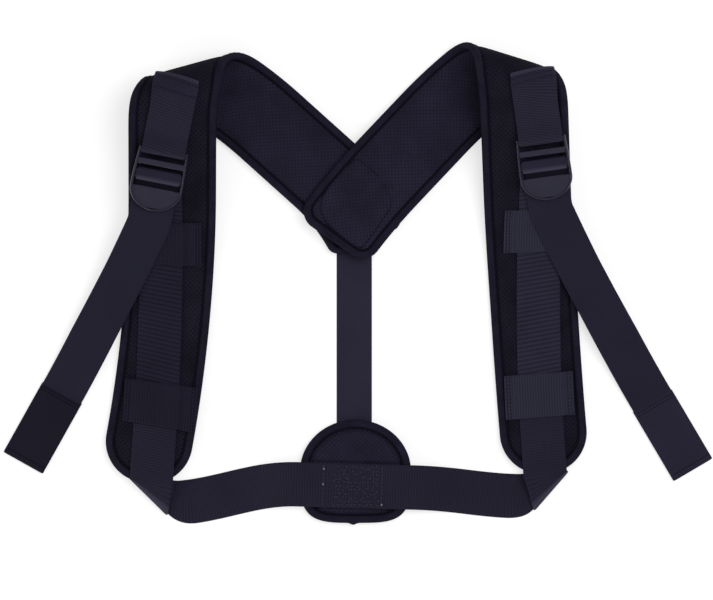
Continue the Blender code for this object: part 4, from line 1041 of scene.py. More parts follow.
# %% Anchor straps
ANCHOR_BROW = math.radians(119)  # of the roll, where the sewn end's outer corner lies
ANCHOR_EASE = 0.016  # over which the plies part to pass the bar
LOOP = BAR_RADIUS + GAP + WEB_THICK / 2
LEG_POINTS = 60
ANCHOR_PITCH = 0.0016  # between stations
ANCHOR_ROW = np.arange(-0.0172, 0.0173, 0.0029)  # places of the stitches across the strap
HEM_SEAM = 0.0040  # from the sewn end to the first row of stitches
STITCH_LIFT = 0.0004  # of the stitches over the strap's face
SMALL_STITCH = (0.0024, 0.0003)  # length and radius


def anchor_path(side):
    """Path of the anchor strap: down from its sewn end, round the bar, and back to the sewn end. The
    end is cut square, with its outer corner just over the brow of the shoulder's roll."""
    start, out, along = strip_frame(side)
    fold_angle = math.radians(side["fold_angle"])
    normal = np.array([math.sin(fold_angle), math.cos(fold_angle)])
    brow = FOLD_RADIUS * ANCHOR_BROW + side["fold_line"] - start @ normal
    top = (brow - WEB_WIDTH / 2 * (out @ normal)) / (along @ normal)
    leg = np.linspace(top, -ANCHOR_EASE, LEG_POINTS)
    ease = np.linspace(-ANCHOR_EASE, 0, 20)[1:-1]
    share = smooth(1 + ease / ANCHOR_EASE)
    turn = np.linspace(-math.pi / 2, math.pi / 2, 24)
    low = RISER_N + (BAR_N - LOOP - RISER_N) * share
    high = TAIL_N + (BAR_N + LOOP - TAIL_N) * share
    v = np.concatenate([leg, ease, LOOP * np.cos(turn), ease[::-1], leg[::-1]])
    under, over = np.full(LEG_POINTS, RISER_N), np.full(LEG_POINTS, TAIL_N)
    n = np.concatenate([under, low, BAR_N + LOOP * np.sin(turn), high[::-1], over])
    return v, n, top


def anchor_strap(name, side):
    """The loop, the hem and the flap at its upper end, and the two rows of stitches."""
    v, n, top = anchor_path(side)
    v, n = resample(v, n, ANCHOR_PITCH)
    bar = np.argmax(v)
    # Round the top bar the loop's crest is painted paler, as a painted highlight.
    made = path_band(f"{name}_anchor_webbing", side, v, n, WEB_THICK, sewn_webbing[name], zero=(bar,))
    stand_in(made, "harness", "webbing", f"{name}_anchor_strap")
    face = TAIL_N + WEB_THICK / 2
    for part, start, end, lift, thick, look, count in (
        ("hem", -0.0004, 0.0020, 0.0003, 0.0008, hem_webbing, 12),
        ("flap", 0.0018, side["flap"], 0.0001, 0.0006, turn_webbing, 20),
    ):
        v = np.linspace(top + start, top + end, count)
        made = path_band(f"{name}_anchor_{part}", side, v, np.full(count, face + lift), thick, look)
        stand_in(made, "harness", "webbing")
    for part, down in (("hem", HEM_SEAM), ("tack", side["flap"] - 0.001)):
        sew(f"{name}_anchor_{part}_stitches", lambda *at: on_strip(side, *at), ANCHOR_ROW, top + down,
            (STEP, 0.0), face + STITCH_LIFT, STEP, *SMALL_STITCH, faint_thread)


for name, side in SIDES.items():
    anchor_strap(name, side)

# %% [markdown]
# ## Risers
# The adjusting strap comes up the panel from under the lower keeper. It doesn't lie quite straight,
# so its middle is a parabola through three known places.

# %% Risers
RISER_MID = 0.120  # from the pad's end to the parabola's middle place
SQUARE_RUN = 0.030  # over which the strap's skew end is squared
RISER_FOLLOW = (0.060, 0.002)  # two distances below its top; the places found there are not used


def lane(side, s):
    """Outward place of the riser's middle: the parabola through its places at tip, mid and buckle."""
    d = PAD_LENGTH - s
    top = PAD_LENGTH - side["bar_at"] - GRIP_BAR[0]
    top_out = side["bar_out"] + GRIP_BAR[0] * math.sin(math.radians(side["skew"]))
    at_tip = (d - RISER_MID) * (d - top) / (RISER_MID * top)
    at_mid = d * (d - top) / (RISER_MID * (RISER_MID - top))
    at_top = d * (d - RISER_MID) / (top * (top - RISER_MID))
    return side["corner_out"] * at_tip + side["riser_out"] * at_mid + top_out * at_top


def riser(name, side):
    """Webbing up the panel from the lower keeper to the grip bar."""
    top = side["bar_at"] + GRIP_BAR[0] + CUT / 2
    low = PAD_LENGTH - side["keeper_from_tip"] - GAP / 2
    skew = math.sin(math.radians(side["skew"]))

    def place(along, across, height):
        slid = along - skew * across * (1 - eased(along, (top, SQUARE_RUN)))
        return on_pad(side, slid, lane(side, along) + across, -(PAD_HALF + RISER_N + height))

    stations = np.linspace(top, low, 130)
    made = band(f"{name}_riser_webbing_by_light", place, stations, WEB_WIDTH, WEB_THICK, riser_webbing_by_light[name])
    start, end = (on_pad(side, top + down, lane(side, top), -PAD_HALF) for down in RISER_FOLLOW)
    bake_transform(made)
    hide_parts(f"{name}_riser_strap")


for name, side in SIDES.items():
    riser(name, side)

# %% [markdown]
# ## The turn round the grip bar
# Inside the buckle the strap goes up through the slot above the grip bar, over the bar and down
# through the slot below it. It is pressed hard over the bar. Its crest is painted pale, as a painted
# highlight, and past the crest it is painted dark, as the slot's painted shade. The path is a chain of
# quarter arcs with straight lines between.

# %% Turn round the grip bar
TURN_BEND = 0.0015
TURN_PITCH = 0.0004  # between stations
CREST = 0.0002  # the crest is what lies within this of the highest point
SHADE_AFTER = 6  # stations past the crest


def strap_turn(name, side):
    """The webbing's turn in the buckle: up through one slot, over the grip bar and down the next."""
    first, last = GRIP_BAR
    bar_top = BUCKLE_UNDER + GAP + GRIP_THICK
    r, bend = GAP + WEB_THICK / 2, TURN_BEND
    sag = np.linspace(-math.pi / 2, -math.pi, 10)
    rise = np.linspace(math.pi, math.pi / 2, 12)
    fall = np.linspace(math.pi / 2, 0, 12)
    land = np.linspace(-math.pi, -math.pi / 2, 10)
    v = np.concatenate([
        [first + CUT / 2], first - r + bend + bend * np.cos(sag), first + r * np.cos(rise),
        last + r * np.cos(fall), last + r + bend + bend * np.cos(land), [TAB_START + TAB_LANDING]])
    n = np.concatenate([
        [RISER_N], RISER_N + bend + bend * np.sin(sag), bar_top + r * np.sin(rise),
        bar_top + r * np.sin(fall), TAIL_N + bend + bend * np.sin(land), [TAIL_N]])
    v, n = resample(v, n, TURN_PITCH)
    crest = np.flatnonzero(n > n.max() - CREST)[-1]
    # The crest gets the painted highlight, and from a few stations past it the strap gets the painted shade
    # of the slot.
    made = path_band(f"{name}_strap_turn", side, v, n, WEB_THICK, turn_webbing, zero=(crest,))
    change_look(made, slot_shade_webbing, crest + SHADE_AFTER)
    stand_in(made, f"{name}_buckle_body", "webbing", f"{name}_strap_wrap")


for name, side in SIDES.items():
    strap_turn(name, side)

# %% [markdown]
# ## The free tails
# Each tail leaves under the thumb tab, crosses the upper keeper, slopes off the panel and lies down
# on the table, ending in a doubled hem. It is made in two lengths, which meet part way along it.

# %% Where the tails lie
TAIL_TURN = 0.012  # over which a tail kinks aside
TAIL_LIFT = (0.042, 0.014)  # start and length of its step up onto the keeper
TAIL_DOWN = (0.60, 0.40)  # start and length of its way down, as shares of its length
TAIL_MEET = 0.45  # share of its length where the two pieces meet
TAIL_FOLLOW = (0.055, 0.002)  # two distances along it; the places found there are not used
HEM_TOP = 1.5 * WEB_THICK + GAP
FLAT = np.array([1, 1, 0])


def tail_line(side, d):
    """Buckle coordinates and turn of the tail's middle at a distance d: it leaves in the buckle's
    direction, kinks aside below the thumb tab, and then curls slowly further."""
    steps = np.linspace(0, side["tail_length"], 800)
    past = steps - side["tail_bend"]
    turn = np.radians(side["tail_kink"]) * smooth(past / TAIL_TURN)
    turn = turn + side["tail_curl"] * np.maximum(past - TAIL_TURN / 2, 0)
    v = TAB_START + TAB_LANDING + np.concatenate([[0], np.cumsum(np.cos(turn[1:]) * steps[1])])
    u = np.concatenate([[0], np.cumsum(np.sin(turn[1:]) * steps[1])])
    return np.interp(d, steps, u), np.interp(d, steps, v), np.interp(d, steps, turn)


def on_tail(side, d, across, height):
    """Points on the tail: over the panel it follows the slope, then it comes down to the table."""
    length = side["tail_length"] - HEM_LENGTH
    u, v, lean = tail_line(side, d)
    grid_u, grid_v = u + across * np.cos(lean), v - across * np.sin(lean)
    n = TAIL_N + (OVER_KEEPER_N - TAIL_N) * eased(grid_v, TAIL_LIFT)
    spot = on_strip(side, grid_u, grid_v, n + height)
    down = (2 * PAD_HALF + OVER_KEEPER_N - HEM_TOP) * eased(d / length, TAIL_DOWN)
    spot[..., 2] -= np.broadcast_to(down, spot.shape[:-1])
    return spot


def tail_upper(name, side):
    """The length from the thumb tab on, to where the two lengths meet."""
    meet = TAIL_MEET * (side["tail_length"] - HEM_LENGTH)
    made = band(f"{name}_tail_upper", lambda *at: on_tail(side, *at), np.linspace(0.0, meet, 60), WEB_WIDTH,
                WEB_THICK, tail_webbing)
    start, end = (on_tail(side, d, 0.0, 0.0) for d in TAIL_FOLLOW)
    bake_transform(made)


print("way down to the table", round((2 * PAD_HALF + OVER_KEEPER_N - HEM_TOP) * 1000, 1), "mm")

# %% [markdown]
# ## Hems of the tails
# The strap's last 70 mm are folded under and sewn, so the end is doubled. In the side view that is a
# line out, a half turn and a line back; it lies flat on the table in the direction that the tail has
# where it comes down. Two rows of stitches close the hem and one lies near its end.

# %% Lower tails and hems
HEM_WIDER = 1.03  # the doubled end spreads a little
HEM_POINTS = 40
HEM_ROWS = (0.003, 0.0058, HEM_LENGTH - 0.005)  # along the hem
HEM_ROW = np.arange(-0.0165, 0.0166, 0.0030)  # places of the stitches across it


def hem_path():
    """Length and height of the hem's middle in the side view, and the unit steps along it."""
    radius = (WEB_THICK + GAP) / 2
    run = HEM_LENGTH - radius - WEB_THICK / 2
    turn = np.linspace(math.pi / 2, -math.pi / 2, 16)
    out, back = np.linspace(0.001, run, HEM_POINTS), np.linspace(run, 0.0, HEM_POINTS)[1:]
    d = np.concatenate([out, run + radius * np.cos(turn), back])
    z = np.concatenate([np.full(len(out), 2 * radius), radius + radius * np.sin(turn), np.zeros(len(back))])
    ahead = unit(np.stack([np.gradient(d), np.gradient(z)], axis=1))
    return d, z + WEB_THICK / 2, ahead[:, 0], ahead[:, 1]


def tail_lower(name, side):
    """The length from where the two lengths meet down to the table, with its hem and the hem's stitches."""
    length = side["tail_length"] - HEM_LENGTH
    meet = TAIL_MEET * length
    last, before = on_tail(side, length, 0.0, 0.0), on_tail(side, length - 0.012, 0.0, 0.0)
    ahead = unit((last - before) * FLAT)
    out = np.cross(ahead, UP) * -side["sign"]
    d, z, step_d, step_z = hem_path()
    steps = np.linspace(meet, length, 70)

    def place(along, across, height):
        i = along[:, 0]
        hem = i[i >= len(steps)] - len(steps)
        first = on_tail(side, steps[i[i < len(steps)]][:, None], across, height)
        flat = d[hem][:, None] - height * step_z[hem][:, None]
        level = z[hem][:, None] + height * step_d[hem][:, None]
        wide = np.broadcast_to(HEM_WIDER * across, level.shape)
        spot = last * FLAT + flat[..., None] * ahead + wide[..., None] * out
        spot[..., 2] = level
        return np.concatenate([first, spot])

    stations = np.arange(len(steps) + len(d))
    made = band(f"{name}_tail_lower", place, stations, WEB_WIDTH, WEB_THICK, tail_webbing)
    change_look(made, end_webbing_by_light[name], len(steps))
    start = on_tail(side, meet + 0.004, 0.0, 0.0)
    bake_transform(made)
    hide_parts(f"{name}_tail_strap", f"{name}_tail_hem")
    base = np.concatenate([last + ahead * row + HEM_ROW[:, None] * out for row in HEM_ROWS])
    base[:, 2] = WEB_THICK * 2 + GAP
    stitches(f"{name}_hem_stitches", base, out, UP, *SMALL_STITCH, dark_thread, f"{name}_tail_end")


for name, side in SIDES.items():
    tail_upper(name, side)
    tail_lower(name, side)

# %% [markdown]
# ## Keepers
# Two short webbing loops are sewn across each panel and hold the riser down. Each is flat at its
# sewn ends and steps up over the riser, so its path is drawn across the panel and its section runs
# along it.

# %% Keepers
KEEPER_HALF = 0.029
KEEPER_STEP = 0.004
KEEPER_ROWS = (0.0022, 0.0048)  # from each end to its two rows of stitches
KEEPER_ROW = np.arange(-0.0170, 0.0171, 0.0031)  # places of the stitches along the panel
KEEPER_STITCH = (0.0025, 0.00032)  # length and radius


def keeper(name, part, side, middle):
    """A loop across the panel at a place along it, with two rows of stitches at each end."""
    inner = WEB_WIDTH / 2 + GAP
    seat, raised = GAP + KEEPER_THICK / 2, GAP + WEB_THICK + GAP + KEEPER_THICK / 2
    t = np.linspace(-side["keeper_in"], KEEPER_HALF, 90)
    n = seat + (raised - seat) * smooth((inner + KEEPER_STEP - np.abs(t)) / KEEPER_STEP)

    def place(i, across, height):
        return on_pad(side, middle + across, lane(side, middle + across) + t[i], -(PAD_HALF + n[i] + height))

    made = band(f"{name}_{part}_keeper_webbing", place, np.arange(len(t)), WEB_WIDTH, KEEPER_THICK,
                keeper_webbing_by_light[name])
    stand_in(made, "harness", "webbing", f"{name}_{part}_keeper")
    s = middle + KEEPER_ROW
    near, far = KEEPER_ROWS
    rows = (near - side["keeper_in"], far - side["keeper_in"], KEEPER_HALF - far, KEEPER_HALF - near)
    t_rows = np.concatenate([lane(side, s) + row for row in rows])
    sew(f"{name}_{part}_keeper_stitches", lambda *at: on_pad(side, *at), np.tile(s, len(rows)), t_rows,
        (STEP, 0.0), -(PAD_HALF + seat + KEEPER_THICK / 2), -STEP, *KEEPER_STITCH, faint_thread)


for name, side in SIDES.items():
    keeper(name, "upper", side, side["bar_at"] + side["keeper_drop"])
    keeper(name, "lower", side, PAD_LENGTH - side["keeper_from_tip"])

# %% [markdown]
# ## The belt's corners
# The belt leaves each panel under its lower keeper, turns over at the bottom corner with a slanting
# fold and runs over the lumbar pad. At the fold the webbing is a cone: a wide roll at the pad's rim
# and a sharp crease at its free edge. So the two edges are worked out first, and the band lies
# between them.

# %% The corner's crease
CREASE_RADIUS = 0.0011
CORNER_BULGE = np.array([0.35, 1.0])  # share of its radius by which each edge swings out in plan


def crease(side):
    """Plan ends of the corner's fold line, its outward direction and the belt's direction."""
    tip = PAD_LENGTH + np.array([0, side["crease_past_tip"]])
    line = on_pad(side, tip, lane(side, tip), -PAD_HALF)[:, :2]
    into = unit(line[1] - line[0])
    rise = math.radians(side["crease_rise"])
    belt = np.array([-side["sign"] * math.cos(rise), math.sin(rise)])
    outward = unit(into - belt)
    ridge = np.array([-outward[1], outward[0]]) * -side["sign"]
    reach = WEB_WIDTH / 2 / abs(into[0] * ridge[1] - into[1] * ridge[0])
    ends = np.stack([line[1] - reach * ridge, line[1] + reach * ridge])
    outer = on_pad(side, PAD_LENGTH, side["corner_out"] + WEB_WIDTH / 2, -PAD_HALF)[:2]
    gaps = np.linalg.norm(ends - outer, axis=1)
    ends = ends if gaps[0] < gaps[1] else ends[::-1]
    ends = ends + np.array(side["crease_out"])[:, None] * outward
    return np.stack([ends[0], ends[1] + side["tip_cut"] * (ends[0] - ends[1])]), outward, belt


def panel_edges(side):
    """Both edges of the belt's end on the panel, from under the lower keeper to the pad's tip."""
    s = np.linspace(PAD_LENGTH - side["keeper_from_tip"] + GAP / 2, PAD_LENGTH - 0.001, 30)[:, None]
    t = lane(side, s) + np.array([1, -1]) * WEB_WIDTH / 2
    return on_pad(side, s + np.zeros(2), t, -(PAD_HALF + RISER_N))


def corner_edges(side):
    """Both edges round the corner, each half a turn of its own radius, and the webbing's normals."""
    ends, outward, _ = crease(side)
    radius = np.array([(UNDER_STRAP + 2 * PAD_HALF + 2 * GAP) / 2, CREASE_RADIUS])
    angle = np.linspace(0, math.pi, 24)
    plan = ends[None] + outward * (radius * CORNER_BULGE * np.sin(angle)[:, None])[..., None]
    z = WEB_THICK / 2 + radius * (1 + np.cos(angle))[:, None]
    normals = np.column_stack([np.sin(angle)[:, None] * outward, np.cos(angle)])
    return np.concatenate([plan, z[..., None]], axis=2), normals


for name, side in SIDES.items():
    ends = crease(side)[0]
    print(f"{name} crease: {np.linalg.norm(ends[1] - ends[0]) * 1000:.0f} mm long")

# %% [markdown]
# ## The belt to the lumbar pad
# Between a corner and the lumbar pad the belt's middle is a cubic curve that starts in the direction
# of the fold and ends in the direction in which it crosses the pad. The lower edge leaves the crease
# in a round, because webbing can't turn a sharp corner in its own plane.

# %% The belt from a corner to the lumbar pad
CORNER_RUN = 0.024  # from the crease to the curve's start
ROUND = 8  # stations of the lower edge's round
LUMBAR = np.array([-0.0022, -0.1623])
LUMBAR_HALF = 0.0483
BELT_BELOW = 0.0127  # under the lumbar pad's middle
BELT_TILT = math.radians(1.6)
BELT_MARGIN = 0.003
BELT_CLIMB = 0.042  # over which the belt climbs onto the pad
BELT_EDGE = WEB_WIDTH * 0.509  # from the middle, a little over half, as it looks in the photograph


def flat_edges(side):
    """Both edges of the belt on the table and up to the lumbar pad."""
    ends, _, belt = crease(side)
    crease_middle = ends[0] + (ends[1] - ends[0]) / (2 - 2 * side["tip_cut"])
    beside = side["sign"] * (LUMBAR_HALF + BELT_MARGIN)
    goal = LUMBAR + SHIFT[:2] + np.array([beside, -BELT_BELOW - beside * math.tan(BELT_TILT)])
    first = crease_middle + belt * CORNER_RUN - np.array([0, side["belt_sag"]])
    level = -side["sign"] * np.array([math.cos(BELT_TILT), -math.sin(BELT_TILT)])
    span = np.linalg.norm(goal - first)
    w = np.linspace(0, 1, 60)[:, None]
    line = (2 * w ** 3 - 3 * w ** 2 + 1) * first + (w ** 3 - 2 * w ** 2 + w) * span * belt
    line = line + (3 * w ** 2 - 2 * w ** 3) * goal + (w ** 3 - w ** 2) * span * level
    up = left_of(unit(np.gradient(line, axis=0)))
    up = up * np.sign(up[:, 1])[:, None]
    away = np.abs(line[:, 0] - SHIFT[0] - LUMBAR[0]) - LUMBAR_HALF - BELT_MARGIN
    height = WEB_THICK / 2 + (2 * PAD_HALF + GAP) * (1 - smooth(away / BELT_CLIMB))
    flat = np.stack([np.column_stack([line + k * up * BELT_EDGE, height]) for k in (1, -1)], axis=1)
    flat[:ROUND, 1, :2] = rounded(ends, flat[:, 1, :2])
    return flat


def rounded(ends, edge):
    """The lower edge's first points: a parabola that touches the crease's line and the edge's."""
    leave, meet = ends[1], edge[ROUND]
    ridge = ends[1] - ends[0]
    back = edge[ROUND] - edge[ROUND + 2]
    reach = np.linalg.solve(np.column_stack([ridge, -back]), meet - leave)[0]
    w = (np.arange(ROUND)[:, None] + 1) / (ROUND + 1)
    return (1 - w) ** 2 * leave + 2 * w * (1 - w) * (leave + reach * ridge) + w ** 2 * meet


def belt_side(side):
    """Edges and normals of the belt from a lower keeper, round the corner, to the lumbar pad."""
    panel, flat = panel_edges(side), flat_edges(side)
    corner, turned = corner_edges(side)
    normals = np.concatenate([np.tile(UP, (len(panel), 1)), turned, np.tile(-UP, (len(flat), 1))])
    return np.concatenate([panel, corner, flat]), normals


print("belt's edges ready")

# %% [markdown]
# ## Waist belt and spine strap
# The two halves are joined by a straight length over the lumbar pad, and the whole belt is one band
# between the two edges.

# %% Waist belt
HIGHLIGHT_STATION = 31  # just past the start of the corner, where each fold gets its painted highlight


def waist_belt():
    """The band between both edges of the whole belt; gives back its edges at the lumbar pad."""
    left_edges, left_up = belt_side(SIDES["left"])
    right_edges, right_up = belt_side(SIDES["right"])
    w = np.linspace(0, 1, 50)[1:-1, None, None]
    over = left_edges[-1] * (1 - w) + right_edges[-1] * w
    edges = np.concatenate([left_edges, over, right_edges[::-1]])
    up = np.concatenate([left_up, np.tile(-UP, (len(over), 1)), right_up[::-1]])

    def place(along, across, height):
        i = along[:, 0]
        share = (0.5 - across / WEB_WIDTH)[..., None]
        return edges[i][:, :1] * (1 - share) + edges[i][:, 1:] * share + height[..., None] * up[i][:, None, :]

    made = band("waist_belt_webbing", place, np.arange(len(edges)), WEB_WIDTH, WEB_THICK, belt_webbing,
                zero=(HIGHLIGHT_STATION, len(edges) - 1 - HIGHLIGHT_STATION))
    stand_in(made, "harness", "webbing", "waist_belt")
    return left_edges[-1], right_edges[-1]


belt_left, belt_right = waist_belt()

# %% [markdown]
# ## Spine strap
# A narrower webbing runs down the middle, from under the crossed pads to under the lumbar pad. It
# lies flat on the table, so it needs only a straight path.

# %% Spine strap
LUMBAR_UP = 0.0448
SPINE_UNDER = 0.013  # how far the strap runs in under the lumbar pad
SPINE_WIDER = 0.0007  # than the model's, as the photograph shows it
SPINE_ASIDE = 0.0003


def spine_strap():
    """Flat webbing from under the crossing to under the lumbar pad."""
    def place(along, across, height):
        spot = np.broadcast_arrays(SPINE_X - SPINE_ASIDE - across, along, WEB_THICK / 2 + height)
        return np.stack(spot, axis=-1) + SHIFT

    stations = np.linspace(SPINE_TOP, LUMBAR[1] + LUMBAR_UP - SPINE_UNDER, 80)
    made = band("spine_strap_webbing", place, stations, SPINE_WIDTH + SPINE_WIDER, WEB_THICK, strap_webbing)
    stand_in(made, "harness", "webbing", "spine_strap")


spine_strap()

# %% [markdown]
# ## The lumbar pad
# A small pad built like the shoulder pads: round above, squared below, with its edge bound. Rings
# from the rim to the middle give both skins. The belt is sewn down over it and presses a shallow line
# along each of its edges.

# %% Lumbar pad
LUMBAR_DOWN = 0.0452
LUMBAR_SQUARE = 3.8  # power of the lower half
LUMBAR_SWELL = 0.004
LUMBAR_GROOVE = (0.0014, 0.0013)  # place and reach of the groove beside the tape
LUMBAR_GROOVE_DEEP = 0.0014
BELT_PRESS = (0.0008, 0.0014)  # place and reach of the line pressed beside the belt
BELT_PRESS_DEEP = 0.0012


def lumbar_outline(count):
    """Points evenly round half an ellipse above and half a superellipse below, with inward normals and
    the length along it."""
    angle = np.linspace(0, 2 * math.pi, 4001)
    sine, cosine = np.sin(angle), np.cos(angle)
    power = np.where(sine >= 0, 1.0, 2 / LUMBAR_SQUARE)
    tall = np.where(sine >= 0, LUMBAR_UP, LUMBAR_DOWN)
    x = LUMBAR_HALF * np.sign(cosine) * np.abs(cosine) ** power
    y = tall * np.sign(sine) * np.abs(sine) ** power
    even, ahead, at = even_loop(np.stack([x, y], axis=-1), count)
    return even, left_of(ahead), at


def on_lumbar(plan, height):
    """Points of the lumbar pad, whose upper rim is raised on the end of the spine strap."""
    start = WEB_WIDTH / 2 - BELT_BELOW + BELT_MARGIN
    end = LUMBAR_UP - SPINE_UNDER - BELT_MARGIN
    lift = UNDER_STRAP * eased(plan[..., 1], (start, end - start))
    spot = np.broadcast_arrays(plan[..., 0] + LUMBAR[0], plan[..., 1] + LUMBAR[1], PAD_HALF + height + lift)
    return np.stack(spot, axis=-1) + SHIFT


def lumbar_pad():
    """Both skins, from the middle out to the rim on top and back below: thin at the edge, a groove
    by the tape, full inside, and pressed in beside the belt."""
    outline, inwards, _ = lumbar_outline(220)
    share = np.linspace(1, 0, 42) ** 0.9
    plan = (outline + RIM_INSET * inwards)[None] * share[:, None, None]
    depth = (1 - share)[:, None] * np.linalg.norm(outline, axis=1)[None] - TAPE_FACE + RIM_INSET
    full = 1 - np.exp(-np.maximum(depth, 0) / LUMBAR_SWELL)
    groove = LUMBAR_GROOVE_DEEP * bell(depth, *LUMBAR_GROOVE)
    half = EDGE_HALF + (PAD_HALF - EDGE_HALF - SKIN_SLACK) * full - groove
    beside = np.abs(plan[..., 1] + BELT_BELOW + plan[..., 0] * math.tan(BELT_TILT)) - WEB_WIDTH / 2
    upper = on_lumbar(plan, half - BELT_PRESS_DEEP * bell(beside, *BELT_PRESS))
    lower = on_lumbar(plan, -half)
    rings = np.concatenate([upper[::-1], lower]).transpose(1, 0, 2)
    flat = np.concatenate([plan[::-1], plan]).transpose(1, 0, 2)
    made = skin("lumbar_cushion", rings, flat, [lining_knit], closed=True)
    stand_in(made, "harness", "face_fabric", "lumbar_foam", "lumbar_cover", "lumbar_lining")


lumbar_pad()
print("lumbar pad made")

# %% [markdown]
# ## Binding of the lumbar pad
# The same tape as on the shoulder pads. Its two ends are lapped at the foot of the pad, which leaves a
# small lump in the outline there.

# %% Binding of the lumbar pad
LUMP = (-0.0020, 0.0030)  # place across and reach of the lapped ends
LUMP_OUT = 0.0016
LUMP_NOSE = 0.004  # only the nose of the tape is pushed out
LUMBAR_PUCKER = 0.04


def lumbar_binding():
    """The tape's section carried round the lumbar pad, and the stitches on its upper face."""
    outline, inwards, run = lumbar_outline(360)
    e, h = tape_ring()
    lump = LUMP_OUT * bell(outline[:, 0], *LUMP) * (outline[:, 1] < 0)
    inset = e[None, :] - lump[:, None] * (e < LUMP_NOSE)[None, :]
    at = outline[:, None, :] + inset[..., None] * inwards[:, None, :]
    pucker = 1 + LUMBAR_PUCKER * np.sin(run * radians_per_metre(PUCKER_MM))[:, None]
    lay = np.stack(np.broadcast_arrays(e[None, :], run[:, None]), axis=-1)
    made = skin("lumbar_tape", on_lumbar(at, h[None, :] * pucker), lay, [binding_tape], closed=True)
    stand_in(made, "harness", "binding_tape", "lumbar_binding")
    line, normal, _ = lumbar_outline(1200)
    spots, ahead = seam(line + TAPE_SEAM * normal, TAPE_PITCH)
    along = np.column_stack([ahead, np.zeros(len(ahead))])
    stitches("lumbar_tape_stitches", on_lumbar(spots, TAPE_TOP), along, UP, *TAPE_STITCH, dark_thread)


lumbar_binding()
print("lumbar binding made")

# %% [markdown]
# ## Sewing of the belt
# The belt is sewn to the lumbar pad by a worn block of bar tacks between two dotted lines. The tacks
# are uneven, so a fixed series of random numbers moves, turns and drops some of them. At three places
# pale thread is put in as painted glints, painted highlights of the sewing.

# %% Sewing of the belt on the lumbar pad
TACK_SIDES = (-0.0279, 0.0231)  # places along the belt of the two dotted lines
TACK_COLUMN = np.arange(-0.0165, 0.0166, 0.0033)  # places across the belt
TACK_ROWS = np.arange(-0.0180, 0.0190, 0.0036)  # places along the belt
TACK_STAGGER = 0.0012
TACK_SPREAD = 0.0006
TACK_KEPT = 0.8  # share of the tacks that still show
# Places of the three painted glints.
GLINT_SPOTS = np.array([(-0.0279, 0.0142), (-0.0282, 0.0008), (0.0231, -0.0158)])
TACK = (0.0024, 0.00042)  # length and radius
GLINT_STITCH = (0.0020, 0.0007)


def belt_sewing():
    """Bar tacks: a dotted line at each side, rows of short stitches in two blocks between them, and
    three spots of pale thread that are painted glints."""
    middle = (belt_left.mean(axis=0) + belt_right.mean(axis=0)) / 2
    ahead = unit(belt_right.mean(axis=0) - belt_left.mean(axis=0))
    up = np.array([-ahead[1], ahead[0], 0.0])
    top = middle + (WEB_THICK / 2 + 0.0001) * UP
    stagger = TACK_STAGGER * (np.arange(len(TACK_COLUMN)) % 2)
    edge = np.concatenate([np.column_stack([np.full_like(TACK_COLUMN, x), TACK_COLUMN]) for x in TACK_SIDES])
    block = np.concatenate([np.column_stack([x + stagger, TACK_COLUMN]) for x in TACK_ROWS])
    chance = np.random.default_rng(5)
    block = block + chance.normal(0, TACK_SPREAD, block.shape)
    block = block[chance.random(len(block)) < TACK_KEPT]
    slant = chance.uniform(-0.7, 1.1, (len(block), 1))
    for part, spots, way, size, look in (
        ("edge", edge, up, TACK, grey_thread),
        ("block", block, ahead + slant * up, TACK, grey_thread),
        ("glinting", GLINT_SPOTS, up, GLINT_STITCH, glint_thread),
    ):
        base = top + spots[:, :1] * ahead + spots[:, 1:] * up
        stitches(f"belt_{part}_sewing", base, way, UP, *size, look)
    print("belt sewn with", len(block), "tacks in its block")


belt_sewing()

# %% [markdown]
# ## The buckles
# A ladder lock is one moulding: two cheeks that run on as the rim of a D, a round top bar, a ladder
# of two flat bars, and a thumb tab inside the D. Each part of it is a soft-edged section carried
# along a line, so that the rim catches the light in a thin bright edge as moulded plastic does. All
# are worked out in the buckle's own frame: x across, y up the strap, z outwards.

# %% The rim and the bars of a buckle
TAB_END = 0.0525
TAB_RIM = 0.0018
TAB_RISE = 0.0014
TAB_RUN = TAB_END - TAB_START
RIM_RUN = TAB_END - TAB_RIM / 2 - TAB_START  # of the rim's middle line
CHEEK_HALF = (WEB_WIDTH / 2 + 0.00115, WEB_WIDTH / 2 + 0.0026)  # at the top bar and where the D starts
BAR_REACH = WEB_WIDTH / 2 + 0.0008  # half length of a bar, which ends inside the cheeks
RIM_WIDE = 0.0024
RIM_NARROWS = (0.0004, 0.012)  # by how much, and over what length of the D
RIM_FLATTER = 0.16  # share of its depth that the rim loses towards the end
UNDERSIDE = -BAR_RADIUS
MID_DEPTH = UNDERSIDE + BUCKLE_DEPTH / 2


def soft_section(wide, tall, power, sides):
    """A rounded rectangle: a superellipse."""
    angle = np.linspace(0, 2 * math.pi, sides, endpoint=False)
    c, s = np.cos(angle), np.sin(angle)
    return wide / 2 * np.sign(c) * np.abs(c) ** (2 / power), tall / 2 * np.sign(s) * np.abs(s) ** (2 / power)


def outline_half(v):
    """Half width of the buckle's middle line: widening cheeks, then half an ellipse."""
    top, wide = CHEEK_HALF
    start = -BAR_RADIUS - 0.001
    cheek = top + (wide - top) * np.sin(np.clip((v - start) / (TAB_START - start), 0, 1) * math.pi / 2)
    share = np.clip((v - TAB_START) / RIM_RUN, 0, 1)
    return np.where(v < TAB_START, cheek, wide * np.sqrt(1 - share ** 2))


